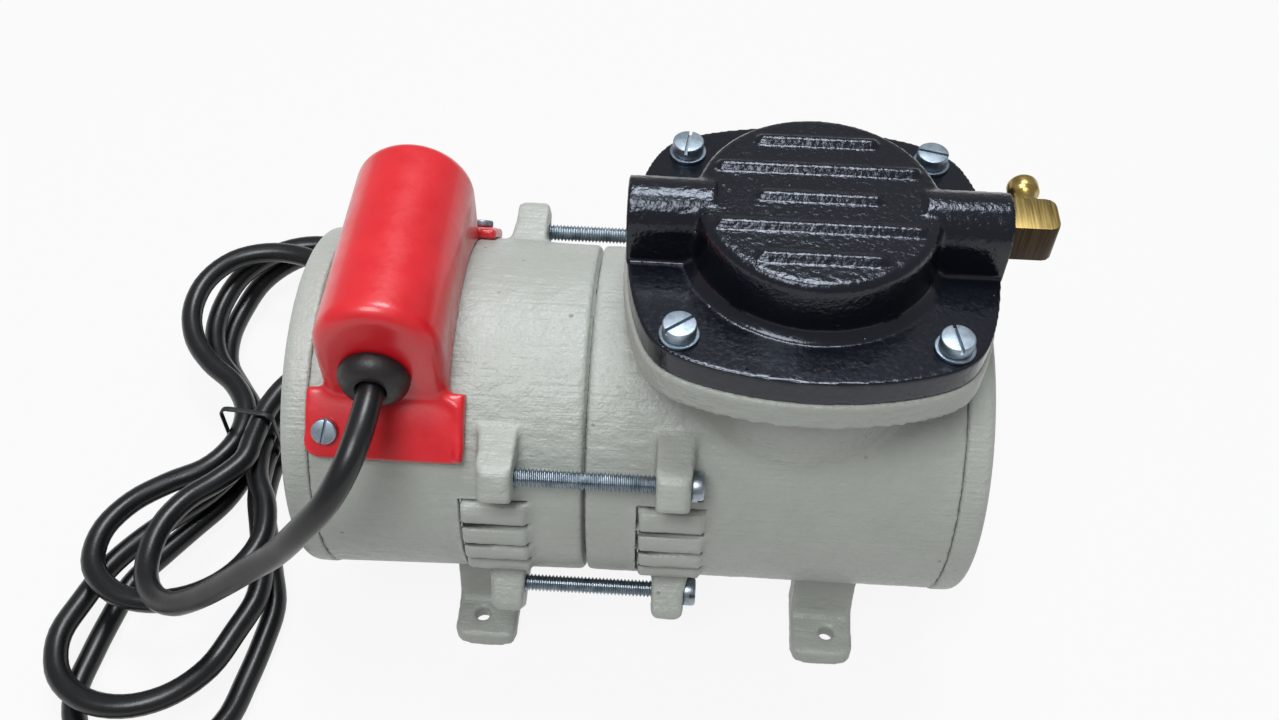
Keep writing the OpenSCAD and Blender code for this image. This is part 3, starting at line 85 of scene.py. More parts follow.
# %% Camera
only()
bpy.ops.object.camera_add(location=at(22.15, -234.45, 368.37))
camera = bpy.context.object
camera.name = "photo_camera"
right = Vector((0.99831, 0.05654, 0.01307))
up = Vector((-0.05180, 0.76659, 0.64005))
back = right.cross(up)
turn = Matrix((right, up, back)).transposed()
camera.matrix_world = Matrix.Translation(camera.location) @ turn.to_4x4()
camera.data.sensor_width = 36
camera.data.lens = 35.95
camera.data.clip_start = 0.01
bpy.context.scene.camera = camera
print("camera at", [round(v, 4) for v in camera.location])

# %% [markdown]
# ## The mains lead
# A mains lead is one long soft tube of fixed length. It leaves the grommet, runs down to the
# left, lies in a tied hank of loops beside the motor and ends in its plug behind the casings.
# The route is a formula, the same one that the CAD model uses: each loop is straight at the
# tied waist, flares out, and turns round at its far end while it sinks to the layer below.
# A curve with a round bevel then gives the sheath, which stays round in every bend.

# %% Numbers of the route
CORD_R = 3.6
WAIST = Vector((-117.5, 14))    # where the hank is tied
LANE = 4.4                      # from the hank's middle line to each strand at the waist
HANK_TURN = -6                  # degrees
FLARE_R = 26                    # the bends where the strands leave and reach their loop
HANK_END = 8                    # the straight run at either end of the hank

# Each loop: its side, end radius, reach, where it flares from and to, how far it swings in degrees,
# its height at the start and the end, and how much its far end sags
BIGHTS = [
    (1, 30, 78, 14, 35, 16, 28.7, 20.7, 0),
    (-1, 24, 68, 13, 32, -17, 20.7, 20.7, 0),
    (1, 32, 90, 14, 40, 3, 20.7, 12.7, 0),
    (-1, 25, 98, 13, 50, -10, 12.7, 12.7, 0),
    (1, 32, 97, 14, 42, -3, 12.7, 4.7, 0),
    (-1, 25, 110, 13, 54, -2, 4.7, 4.7, 0.9),
]
LEAD = [(-53.8, -31, 114.3), (-53.8, -44, 114.3), (-56, -56, 110.5), (-62, -63, 101),
        (-71, -65, 89), (-80, -64, 76), (-90, -63, 65), (-100, -62, 54), (-110, -61, 44),
        (-120, -59, 36), (-129, -53, 31), (-134, -43, 29), (-134, -30, 29), (-129, -19, 29),
        (-121, -11, 29)]
TAIL = [(-107, 42, 4.5), (-100, 54, 4), (-90, 63, 3.8), (-77, 69, 3.8), (-64, 72, 6),
        (-52, 72, 11), (-40, 72, 16), (-28, 72, 18), (-20, 72, 18)]
print(len(BIGHTS), "loops of a cord", 2 * CORD_R, "mm thick")


# %% Turns and corners
def swung(x, y, degrees):
    """A point turned round the waist."""
    c, s = math.cos(math.radians(degrees)), math.sin(math.radians(degrees))
    return Vector((c * x - s * y, s * x + c * y))


def smooth(t):
    """Rises from 0 to 1 without a kink."""
    t = max(0, min(1, t))
    return t * t * (3 - 2 * t)


def corner(a, b, c, radius, steps):
    """Points of the arc that rounds corner b of the route a, b, c."""
    a, b, c = Vector(a), Vector(b), Vector(c)
    u, v = (a - b).normalized(), (c - b).normalized()
    half = math.acos(max(-1, min(1, u.dot(v)))) / 2
    middle = b + (u + v).normalized() * radius / math.sin(half)
    p = b + u * radius / math.tan(half) - middle
    q = b + v * radius / math.tan(half) - middle
    start = math.atan2(p.y, p.x)
    sweep = (math.atan2(q.y, q.x) - start + math.pi) % (2 * math.pi) - math.pi
    angles = [start + sweep * i / steps for i in range(steps + 1)]
    return [middle + radius * Vector((math.cos(a), math.sin(a))) for a in angles]


print("a rounded right angle:", len(corner((0, 4), (0, 0), (4, 0), 1, 4)), "points")


# %% Loops of the hank
def bight(side, radius, reach, flare0, flare1, sweep, z0, z1, sag):
    """One loop, out from the waist and back, as points."""
    plan = [Vector((LANE, 0))]
    plan += corner((LANE, 0), (LANE, flare0), (radius, flare1), FLARE_R, 4)
    plan += corner((LANE, flare0), (radius, flare1), (radius, reach), FLARE_R, 4)
    plan += corner((radius, flare1), (radius, reach), (0, reach), radius - 0.01, 8)
    plan += [Vector((-p.x, p.y)) for p in reversed(plan[1:-1])]
    far = [0]
    for a, b in zip(plan, plan[1:]):
        far.append(far[-1] + (b - a).length)
    total = far[-1] + flare0
    points = []
    for p, s in zip(plan, far):
        q = swung(side * p.x, side * p.y, sweep * p.y / reach + HANK_TURN)
        z = z0 + (z1 - z0) * smooth((s / total - 0.45) / 0.4) - sag * smooth((p.y / reach - 0.35) / 0.6)
        points.append(Vector((WAIST.x + q.x, WAIST.y + q.y, z)))
    return points


def spread(points, step):
    """The same route with evenly spaced points."""
    far = [0]
    for a, b in zip(points, points[1:]):
        far.append(far[-1] + (b - a).length)
    count = round(far[-1] / step)
    made, k = [], 0
    for i in range(count + 1):
        s = far[-1] * i / count
        while k < len(far) - 2 and far[k + 1] < s:
            k += 1
        span = far[k + 1] - far[k]
        made.append(points[k].lerp(points[k + 1], (s - far[k]) / span if span else 0))
    return made


along = swung(0, 1, HANK_TURN).to_3d()
first = (WAIST + swung(LANE, 0, HANK_TURN)).to_3d() + Vector((0, 0, BIGHTS[0][6]))
last = (WAIST + swung(LANE, 0, HANK_TURN)).to_3d() + Vector((0, 0, BIGHTS[-1][7]))
hank = [first - HANK_END * along] + [p for b in BIGHTS for p in bight(*b)]
hank = spread(hank + [last, last + HANK_END * along], 13)
route = [Vector(p) for p in LEAD] + [hank[0] - 8 * along] + hank
route += [hank[-1] + 8 * along] + [Vector(p) for p in TAIL]
print("hank of", len(hank), "points")


# %% Rounded route
def rounded_route(points, step=3.0):
    """A smooth curve through all the points, then evenly spaced."""
    made = []
    for i in range(len(points) - 1):
        p0, p1 = points[max(0, i - 1)], points[i]
        p2, p3 = points[i + 1], points[min(len(points) - 1, i + 2)]
        for k in range(6):
            t = k / 6
            bend = (2 * p0 - 5 * p1 + 4 * p2 - p3) * t * t
            made.append(0.5 * (2 * p1 + (p2 - p0) * t + bend + (3 * p1 - p0 - 3 * p2 + p3) * t ** 3))
    return spread(made + [points[-1]], step)


lead_line = rounded_route(route)

# %% [markdown]
# The real sheath is PVC pressed round the wires, so it is round everywhere. A swept circle could do
# it, but a curve's own bevel is shorter. It is then made a mesh, as every finished piece is.

# %% Sheath of the lead
sheath = bpy.data.curves.new("mains_lead", "CURVE")
sheath.dimensions = "3D"
spline = sheath.splines.new("POLY")
spline.points.add(len(lead_line) - 1)
for point, place in zip(spline.points, lead_line):
    point.co = (*at(*place), 1)
sheath.bevel_depth = CORD_R * MM
sheath.bevel_resolution = 5
sheath.use_fill_caps = True
lead = bpy.data.objects.new("mains_lead", sheath)
bpy.context.collection.objects.link(lead)
only(lead)
bpy.ops.object.convert(target="MESH")
lead = bpy.context.object
bpy.ops.object.shade_smooth_by_angle(angle=math.radians(50))
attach(lead, "casing")
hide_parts("mains_cord", "cord_hank", "cord_tail")
print("sheath with", len(lead.data.polygons), "faces")

# %% [markdown]
# ## Finishes
# A finish is more than a colour: it is what the surface is made of and how it was made. Each
# material below starts from the real one. Colours are written as sRGB hex codes and turned to
# linear by one function, and every pattern's scale comes from a size in millimetres.

# %% Colours and nodes
def linear(code):
    """An sRGB hex code as the linear colour that a shader takes."""
    parts = [int(code[i:i + 2], 16) / 255 for i in (1, 3, 5)]
    return [c / 12.92 if c <= 0.04045 else ((c + 0.055) / 1.055) ** 2.4 for c in parts] + [1]


def add(material, kind, feed=None, **settings):
    """Adds one node. feed gives its sockets values, or other nodes' outputs to link."""
    made = material.node_tree.nodes.new("ShaderNode" + kind)
    for name, value in settings.items():
        setattr(made, name, value)
    for socket, value in (feed or {}).items():
        if isinstance(value, bpy.types.NodeSocket):
            material.node_tree.links.new(value, made.inputs[socket])
        else:
            made.inputs[socket].default_value = value
    return made


def start_finish(name, **values):
    """A new material, its surface shader, and its place in the piece, from Object coordinates."""
    material = bpy.data.materials.new(name)
    material.use_nodes = True
    shader = material.node_tree.nodes["Principled BSDF"]
    for socket, value in values.items():
        shader.inputs[socket.replace("_", " ")].default_value = value
    return material, shader, add(material, "TexCoord").outputs["Object"]


def end_finish(material, shader, colour, gloss, bump):
    """Links the last nodes of a finish to its surface shader."""
    for node, output, socket in ((colour, COLOUR_OUT, "Base Color"), (gloss, "Result", "Roughness"),
                                 (bump, "Normal", "Normal")):
        material.node_tree.links.new(node.outputs[output], shader.inputs[socket])
    return material


# The colour sockets of a Mix node, which share their names with its other sockets
FACTOR, COLOUR_A, COLOUR_B, COLOUR_OUT = 0, 6, 7, 2
PER_MM = 1000.0     # a scale of this has one wave for each millimetre
finishes = {}
print("pure red is", linear("#ff0000"))

# %% [markdown]
# ### Enamel on a casting
# Sand casting leaves a lumpy skin with pores, and brushed or sprayed enamel softens it. So the
# colour wanders a little over centimetres, the skin has lumps of a few millimetres and a finer
# grain, small pores stay dark, and the gloss is broken up. The casings are grey-green and satin.
# The head has the same kind of skin in black, much rougher on its dome and ports. A painted image
# could hold all this, but it would show seams on such round forms. Noise has none, and its size in
# millimetres is the same on every casting.

# %% Enamel finishes
def enamel(name, light, dark, pore, roughness, lump, grain, pores, rough_from=None, strokes=0.0):
    """lump and grain are (size mm, height mm), pores is their distance in mm, and strokes is the
    height in mm of the brush marks that run along the shaft. The grain grows from an eighth at the
    first height of rough_from to all at the second, in mm above the floor."""
    material, shader, place = start_finish(name, IOR=1.5)
    wander = add(material, "TexNoise", {"Vector": place, "Scale": PER_MM / 22, "Detail": 4.0,
                                        "Roughness": 0.6})
    colour = add(material, "Mix", {FACTOR: wander.outputs["Fac"], COLOUR_A: linear(dark),
                                   COLOUR_B: linear(light)}, data_type="RGBA")
    cells = add(material, "TexVoronoi", {"Vector": place, "Scale": PER_MM / pores, "Randomness": 1.0})
    hole = add(material, "MapRange", {"Value": cells.outputs["Distance"], "From Min": 0.05,
                                      "From Max": 0.11, "To Min": 1.0, "To Max": 0.0})
    spread_out = add(material, "TexNoise", {"Vector": place, "Scale": PER_MM / 9, "Detail": 1.0})
    some = add(material, "MapRange", {"Value": spread_out.outputs["Fac"], "From Min": 0.5,
                                      "From Max": 0.62})
    speck = add(material, "Math", {0: hole.outputs["Result"], 1: some.outputs["Result"]},
                operation="MULTIPLY")
    speck_part = add(material, "Math", {0: speck.outputs[0], 1: 0.75}, operation="MULTIPLY")
    shown = add(material, "Mix", {FACTOR: speck_part.outputs[0], COLOUR_A: colour.outputs[COLOUR_OUT],
                                  COLOUR_B: linear(pore)}, data_type="RGBA")
    lumps = add(material, "TexNoise", {"Vector": place, "Scale": PER_MM / lump[0], "Detail": 2.0})
    grains = add(material, "TexNoise", {"Vector": place, "Scale": PER_MM / grain[0], "Detail": 3.0,
                                        "Roughness": 0.55})
    strength = 1.0
    if rough_from:
        height = add(material, "SeparateXYZ", {"Vector": place})
        rising = add(material, "MapRange", {"Value": height.outputs["Z"], "From Min": rough_from[0] * MM,
                                            "From Max": rough_from[1] * MM, "To Min": 0.12})
        strength = rising.outputs["Result"]
    first = add(material, "Bump", {"Height": lumps.outputs["Fac"], "Distance": lump[1] * MM,
                                   "Strength": 1.0})
    second = add(material, "Bump", {"Height": grains.outputs["Fac"], "Distance": grain[1] * MM,
                                    "Strength": strength, "Normal": first.outputs["Normal"]})
    along_shaft = add(material, "Mapping", {"Vector": place,
                                            "Scale": (PER_MM / 16, PER_MM / 1.1, PER_MM / 1.1)})
    brush = add(material, "TexNoise", {"Vector": along_shaft.outputs["Vector"], "Scale": 1.0,
                                       "Detail": 3.0})
    brushed = add(material, "Bump", {"Height": brush.outputs["Fac"], "Distance": strokes * MM,
                                     "Strength": 1.0, "Normal": second.outputs["Normal"]})
    third = add(material, "Bump", {"Height": speck.outputs[0], "Distance": 0.2 * MM, "Strength": 1.0,
                                   "Normal": brushed.outputs["Normal"]}, invert=True)
    gloss = add(material, "MapRange", {"Value": grains.outputs["Fac"], "From Min": 0.3, "From Max": 0.7,
                                       "To Min": roughness[0], "To Max": roughness[1]})
    return end_finish(material, shader, shown, gloss, third)


finishes["casing"] = enamel("grey_enamel_on_casting", "#abafa9", "#989c95", "#74766f", (0.28, 0.46),
                            (3.0, 0.3), (0.9, 0.22), 6.0, strokes=0.26)
finishes["head"] = enamel("black_enamel_on_casting", "#0f1219", "#07090f", "#040507", (0.13, 0.22),
                          (2.2, 0.1), (1.15, 0.17), 4.0, rough_from=(138.5, 147.0))
head_shader = finishes["head"].node_tree.nodes["Principled BSDF"]
head_shader.inputs["Specular Tint"].default_value = (0.82, 0.88, 1.0, 1)    # it shines bluish
print("enamel finishes made")

# %% [markdown]
# ### Red gloss enamel
# The capacitor cover is a smooth pressing in thick red gloss enamel, so it gets a clear coat, a
# slow ripple like the skin of an orange, and fine rub marks where the gloss is duller. A plain red
# would give the colour, but it is the ripple that makes the coat look thick.

# %% Red enamel
material, shader, place = start_finish("red_gloss_enamel", IOR=1.5, Coat_Weight=0.5, Coat_Roughness=0.18)
wander = add(material, "TexNoise", {"Vector": place, "Scale": PER_MM / 14, "Detail": 3.0})
colour = add(material, "Mix", {FACTOR: wander.outputs["Fac"], COLOUR_A: linear("#ba0a17"),
                               COLOUR_B: linear("#d81624")}, data_type="RGBA")
ripple = add(material, "TexNoise", {"Vector": place, "Scale": PER_MM / 1.6, "Detail": 2.0})
rubbed = add(material, "TexNoise", {"Vector": place, "Scale": PER_MM / 7, "Detail": 6.0, "Roughness": 0.7})
gloss = add(material, "MapRange", {"Value": rubbed.outputs["Fac"], "From Min": 0.35, "From Max": 0.7,
                                   "To Min": 0.3, "To Max": 0.5})
bump = add(material, "Bump", {"Height": ripple.outputs["Fac"], "Distance": 0.05 * MM, "Strength": 1.0})
finishes["cover_red"] = end_finish(material, shader, colour, gloss, bump)
print("red enamel made")

# %% [markdown]
# ### Bare and plated metals
# Zinc plate is a bluish grey with cloudy gloss, brass is yellow with sawn or turned lines, and
# electrical steel, bearing steel and die-cast aluminium each have their own tone. They share one
# recipe: a metal whose lines are a noise that is stretched along one direction. An anisotropic
# shader could also drag the gloss along the lines, but at this size the lines themselves are seen.

# %% Metal finishes
def metal(name, light, dark, roughness, lines, depth, turn=(0, 0, 0), dark_grooves=False):
    """lines is the size in mm of a mark along x, y and z, before the pattern is turned, and depth its
    depth in mm. The last argument, when set, makes the low parts of the marks darker than their tops."""
    material, shader, place = start_finish(name, Metallic=1.0)
    laid = add(material, "Mapping", {"Vector": place, "Rotation": turn,
                                     "Scale": [PER_MM / s for s in lines]})
    marks = add(material, "TexNoise", {"Vector": laid.outputs["Vector"], "Scale": 1.0, "Detail": 4.0,
                                       "Roughness": 0.6})
    cloud = add(material, "TexNoise", {"Vector": place, "Scale": PER_MM / 3.0, "Detail": 3.0})
    tone = add(material, "MapRange", {"Value": (marks if dark_grooves else cloud).outputs["Fac"],
                                      "From Min": 0.32, "From Max": 0.68})
    colour = add(material, "Mix", {FACTOR: tone.outputs["Result"], COLOUR_A: linear(dark),
                                   COLOUR_B: linear(light)}, data_type="RGBA")
    gloss = add(material, "MapRange", {"Value": marks.outputs["Fac"], "From Min": 0.3, "From Max": 0.7,
                                       "To Min": roughness[0], "To Max": roughness[1]})
    bump = add(material, "Bump", {"Height": marks.outputs["Fac"], "Distance": depth * MM, "Strength": 1.0})
    return end_finish(material, shader, colour, gloss, bump)


METALS = {
    "zinc_steel": ("zinc_plated_steel", "#a9b6c1", "#8895a1", (0.36, 0.52), (0.5, 0.5, 0.5), 0.012),
    "washer_steel": ("zinc_plated_washer", "#8d9ba8", "#6b7885", (0.36, 0.52), (0.5, 0.5, 0.5), 0.012),
    "tie_steel": ("zinc_plated_thread", "#a7b1b9", "#7d8993", (0.25, 0.4), (0.4, 0.4, 0.4), 0.008),
    "brass": ("sawn_brass", "#a8935c", "#6d5a35", (0.4, 0.55), (0.5, 14.0, 14.0), 0.03,
              (0, 0, -0.75), True),
    # The elbow's sides: this dark brown is painted shade, so they come out darker than its top.
    "drawn_brass": ("drawn_brass_gone_brown", "#4c4033", "#30271f", (0.36, 0.5), (0.35, 0.35, 20.0), 0.012,
                    (0, 0, 0), True),
    "turned_brass": ("turned_brass", "#bfa768", "#9c8248", (0.24, 0.36), (3.0, 0.25, 3.0), 0.006),
    "core_steel": ("electrical_steel_sheet", "#74777b", "#4d5054", (0.4, 0.6), (0.5, 30.0, 30.0), 0.05),
    "cast_aluminium": ("cast_aluminium_cage", "#c9cbce", "#a3a6aa", (0.35, 0.5), (1.5, 1.5, 1.5), 0.03),
    "rod_aluminium": ("machined_aluminium", "#c4c6ca", "#9fa2a7", (0.28, 0.42), (0.3, 0.3, 8.0), 0.01),
    "shaft_steel": ("ground_steel", "#c0c3c7", "#9b9fa4", (0.18, 0.3), (0.3, 6.0, 6.0), 0.004),
    "bearing_steel": ("polished_bearing_steel", "#d5d8db", "#b4b8bc", (0.08, 0.16), (4.0, 0.4, 0.4), 0.002),
    "dark_steel": ("blackened_steel", "#5b5e62", "#3a3c40", (0.3, 0.48), (0.6, 0.6, 0.6), 0.01),
    "pin_nickel": ("nickel_plated_brass", "#d9d5c8", "#bab5a5", (0.14, 0.26), (6.0, 0.4, 0.4), 0.004),
    "copper": ("varnished_copper_wire", "#b56a3a", "#7c3f1d", (0.25, 0.4), (6.0, 0.7, 0.7), 0.12),
}
for slot, values in METALS.items():
    finishes[slot] = metal(*values)
print("metal finishes made")

# %% [markdown]
# ### Rubber, plastic and fibre
# These are not metals, so their colour lies in the material and the gloss sits on top. The lead's
# PVC sheath is smooth and a little shiny, moulded rubber is dull with a bloom of dust, and the
# moulded and pressed pieces inside have a fine grain. Each could have its own shader, but only
# their numbers differ, so one function makes them all from a table.

# %% Soft and moulded finishes
def moulded(name, light, dark, roughness, grain, depth, cloud_size=8.0):
    """grain and depth are the size and the height in mm of the fine grain on the skin."""
    material, shader, place = start_finish(name, IOR=1.5)
    cloud = add(material, "TexNoise", {"Vector": place, "Scale": PER_MM / cloud_size, "Detail": 4.0,
                                       "Roughness": 0.65})
    colour = add(material, "Mix", {FACTOR: cloud.outputs["Fac"], COLOUR_A: linear(dark),
                                   COLOUR_B: linear(light)}, data_type="RGBA")
    grains = add(material, "TexNoise", {"Vector": place, "Scale": PER_MM / grain, "Detail": 2.0})
    gloss = add(material, "MapRange", {"Value": cloud.outputs["Fac"], "From Min": 0.3, "From Max": 0.7,
                                       "To Min": roughness[0], "To Max": roughness[1]})
    bump = add(material, "Bump", {"Height": grains.outputs["Fac"], "Distance": depth * MM, "Strength": 1.0})
    return end_finish(material, shader, colour, gloss, bump)


MOULDED = {
    "cord_pvc": ("black_pvc_sheath", "#0e0f13", "#090a0c", (0.26, 0.38), 1.2, 0.02, 12.0),
    "grommet_rubber": ("moulded_black_rubber", "#1f191a", "#100d0e", (0.38, 0.55), 0.6, 0.06, 1.8),
    "tie_wire": ("coated_tie_wire", "#1f2023", "#131416", (0.4, 0.55), 0.8, 0.02),
    "plug_plastic": ("moulded_plug_pvc", "#1c1d20", "#121316", (0.38, 0.52), 0.6, 0.03),
    "fan_plastic": ("moulded_fan_nylon", "#2e3135", "#222428", (0.45, 0.6), 0.6, 0.03),
    "diaphragm_rubber": ("fabric_backed_rubber", "#2b2927", "#1e1c1a", (0.65, 0.8), 0.9, 0.06),
    "valve_rubber": ("red_valve_rubber", "#8f4030", "#763125", (0.6, 0.75), 0.7, 0.03),
    "gasket": ("pressed_fibre_gasket", "#7a5a3f", "#5f4430", (0.75, 0.9), 0.35, 0.06, 1.2),
    "capacitor_can": ("white_moulded_can", "#dddcd5", "#cfcdc4", (0.25, 0.35), 1.5, 0.01),
}
for slot, values in MOULDED.items():
    finishes[slot] = moulded(*values)

for name, node in frame["nodes"].items():
    for part in node.material_slots:
        part.material = finishes[slot_of[name]]
lead.data.materials.append(finishes["cord_pvc"])
print(len(finishes), "finishes on", len(frame["nodes"]), "CAD pieces")

# %% [markdown]
# ## Cast skins
# A sand casting never has a sharp edge: the metal flows round every corner and the enamel fills
# the inner ones. The CAD pieces have true edges, so each casting gets a skin: a merged copy of
# its mesh is rebuilt from small cells, which welds its parts, and is then smoothed. Smoothing
# more at the roots of the lugs and the neck gives the fillets that a founder would cut.
# Bevels would be the usual way, but they break on edges where many curved faces meet.

# %% Modifiers and places
def finish_modifier(piece, kind, **settings):
    """Adds a modifier with its settings and applies it."""
    only(piece)
    made = piece.modifiers.new(kind.lower(), kind)
    for name, value in settings.items():
        setattr(made, name, value)
    bpy.ops.object.modifier_apply(modifier=made.name)


def cut_away(piece, tool, solver="MANIFOLD"):
    """Cuts the tool's form out of the piece, and throws the tool away."""
    finish_modifier(piece, "BOOLEAN", object=tool, operation="DIFFERENCE", solver=solver)
    bpy.data.objects.remove(tool)


def settle(piece):
    """Puts the piece's place into its mesh, and its origin at the frame's."""
    only(piece)
    bpy.ops.object.transform_apply(location=True, rotation=True, scale=True)


def turned_to(point, direction, spin):
    """The place of an upright model: its Z along direction, turned round it by spin degrees."""
    return Matrix.Translation(point) @ Vector(direction).to_track_quat("Z", "Y").to_matrix().to_4x4() \
        @ Matrix.Rotation(math.radians(spin), 4, "Z")


def block(size, place, turn=(0, 0, 0)):
    """A box of a size in mm, centred on its place."""
    only()
    bpy.ops.mesh.primitive_cube_add(size=1, location=(0, 0, 0))
    made = bpy.context.object
    made.scale = [side * MM for side in size]
    made.rotation_euler = turn
    made.location = place
    settle(made)
    return made


def copied(piece, place):
    """A copy with its own mesh, put at a place, which is a matrix."""
    copy = piece.copy()
    copy.data = piece.data.copy()
    bpy.context.collection.objects.link(copy)
    copy.matrix_world = place
    settle(copy)
    return copy


print("an upright model turned along the shaft:", turned_to((0, 0, 0), (1, 0, 0), 0).to_euler())


# %% Skins from CAD pieces
def merged_copy(node, name):
    """A copy of a CAD piece, its loose triangles merged to a closed mesh."""
    source = frame["nodes"][node]
    piece = bpy.data.objects.new(name, source.data.copy())
    bpy.context.collection.objects.link(piece)
    piece.matrix_world = source.matrix_world
    settle(piece)
    bpy.ops.object.mode_set(mode="EDIT")
    bpy.ops.mesh.select_all(action="SELECT")
    bpy.ops.mesh.remove_doubles(threshold=0.004 * MM)
    bpy.ops.object.mode_set(mode="OBJECT")
    return piece


def rebuild(piece, cell, passes):
    """Welds the piece's parts by building it again from cells of a size in mm, and smooths it."""
    finish_modifier(piece, "REMESH", mode="VOXEL", voxel_size=cell * MM)
    finish_modifier(piece, "SMOOTH", factor=0.5, iterations=passes)


def work_where(piece, weight, kind, **settings):
    """A modifier that acts as far as weight(x, y, z) says: x from the joint, z from the floor."""
    group = piece.vertex_groups.new(name="chosen")
    for v in piece.data.vertices:
        share = weight(v.co.x / MM - JOINT_X, v.co.y / MM, v.co.z / MM)
        if share > 0.01:
            group.add([v.index], min(1, share), "REPLACE")
    finish_modifier(piece, kind, vertex_group=group.name, **settings)
    piece.vertex_groups.clear()


def soften(piece, weight, passes):
    work_where(piece, weight, "SMOOTH", factor=0.5, iterations=passes)


def triangles(piece):
    return sum(len(face.vertices) - 2 for face in piece.data.polygons)


def thin(piece, most=185000):
    """Fewer triangles, where the skin has more than a piece may have."""
    if triangles(piece) > most:
        finish_modifier(piece, "DECIMATE", ratio=most / triangles(piece))
    only(piece)
    bpy.ops.object.shade_smooth()
    print(piece.name, "has", triangles(piece), "triangles")


def stand_for(piece, body, slot, *nodes):
    """Gives the piece its finish, and hides the CAD pieces that it stands for."""
    piece.data.materials.clear()
    piece.data.materials.append(finishes[slot])
    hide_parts(*nodes)
    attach(piece, body)


def ramp(value, low, high):
    """Rises evenly from 0 at low to 1 at high."""
    return max(0, min(1, (value - low) / (high - low)))


print("halfway up a ramp:", ramp(5, 0, 10))

# %% [markdown]
# ### The two casings and their end covers
# Four lugs on each casing carry the tie bolts, and the crankcase has the neck of the pump head
# on its top. One smoothing for all would round the holes too, so each region gets its own weight,
# and the holes of bolts and screws are left out, so that the screws still fit.

# %% Weights for the fillets
TIE_R, TIE_ANGLE = 53.1, 30.7    # the tie bolts, round the shaft
LUG_LEVELS = (17.5, 34.5)        # above and below the shaft
LUG_ENDS = (15, 31)              # to both sides of the joint
NECK_R = 39.7


def round_tie(across, up):
    """Where a tie bolt's middle is, as y and z in mm. across and up are -1 or 1."""
    angle = math.radians(TIE_ANGLE)
    return across * TIE_R * math.cos(angle), AXIS_H + up * TIE_R * math.sin(angle)


TIES = [round_tie(across, up) for across in (-1, 1) for up in (-1, 1)]


def from_shaft(y, z):
    return math.hypot(y, z - AXIS_H)


def from_bolts(y, z):
    return min(math.hypot(y - tie_y, z - tie_z) for tie_y, tie_z in TIES)


def lug_weight(x, y, z):
    inside = LUG_LEVELS[0] < abs(z - AXIS_H) < LUG_LEVELS[1] and LUG_ENDS[0] < abs(x) < LUG_ENDS[1]
    return ramp(from_shaft(y, z), 46.8, 48) * ramp(from_bolts(y, z), 3.8, 4.6) if inside else 0


def foot_weight(x, y, z):
    return ramp(16, z, z + 4) if z < 15 and abs(y) > 24 else 0


def neck_weight(x, y, z):
    """Near the line where the round neck comes out of the barrel, on both of them."""
    reach = math.hypot(x - HEAD_X, y)
    outside = from_shaft(y, z)
    if z < 72 or z > 118.5 or outside < 46.5 or reach < 38.5:
        return 0
    return ramp(NECK_R - reach, -9, -5) * ramp(BARREL_R - outside, -9, -5)


print("tie bolts at", [[round(v, 1) for v in tie] for tie in TIES])

# %% [markdown]
# ### Louvres
# Four fins on each side of each casing let the motor's air in and out. Each fin bulges from the
# barrel, with a dark gap under it. The cells round such small fins off, so they are raised again
# afterwards with a Displace, and the gaps are cut with a comb of thin blades.

# %% Louvre fins and gaps
LOUVRE_TOP, LOUVRE_STEP = 19.2, 9.7    # degrees round the shaft: the first gap and the next one
LOUVRE_W = 18.7
MOTOR_LOUVRES, CRANK_LOUVRES = -14.8 - LOUVRE_W, 14.6    # where they start, from the joint
GAP_R, END_GAP_R = 46.5, 48.5


def fin_weight(x, y, z):
    """Most in the middle of each fin, none between them."""
    start = MOTOR_LOUVRES if x < 0 else CRANK_LOUVRES
    step = (LOUVRE_TOP - math.degrees(math.atan2(z - AXIS_H, abs(y)))) / LOUVRE_STEP
    if not (0 < step < 4 and start < x < start + LOUVRE_W and from_shaft(y, z) > 47.5):
        return 0
    ends = min(1, (x - start) / 1.2, (start + LOUVRE_W - x) / 1.2)
    return math.sin(math.pi * (step % 1)) ** 0.8 * ends


def round_side(x, side, radius, angle):
    return at(x, side * radius * math.cos(angle), AXIS_H + radius * math.sin(angle))


def louvre_comb(start):
    """Thin blades on both sides: one for each gap under and over the fins, and one for the gap at
    the left end of each fin."""
    blades = []
    for side in (-1, 1):
        for k in range(5):
            angle = math.radians(LOUVRE_TOP - k * LOUVRE_STEP)
            blades.append(block((LOUVRE_W - 0.6, 11.5, 1.5 if 0 < k < 4 else 0.9),
                                round_side(start + LOUVRE_W / 2, side, GAP_R, angle),
                                (side * (angle - 0.12), 0, 0)))
        for k in range(4):
            angle = math.radians(LOUVRE_TOP - (k + 0.5) * LOUVRE_STEP)
            blades.append(block((0.9, 7, 8.4), round_side(start + 0.2, side, END_GAP_R, angle),
                                (side * angle, 0, 0)))
    only(*blades)
    bpy.ops.object.join()
    print(len(blades), "blades in the comb")
    return bpy.context.object


def cut_louvres(piece, start):
    work_where(piece, fin_weight, "DISPLACE", strength=1.7 * MM, mid_level=0.0)
    cut_away(piece, louvre_comb(start))


# %% [markdown]
# ### Joint and mould marks
# The casings meet in an open line, as dark as a scribed groove. It is cut with a thin ring, half
# of it in each casing, because smoothing would wash a modelled gap away. The ring starts as a
# circle whose edges are extruded, scaled and raised, and the head's washers are made the same way.
# The sand of the mould leaves shallow lumps, which a Displace with a cloud texture gives.

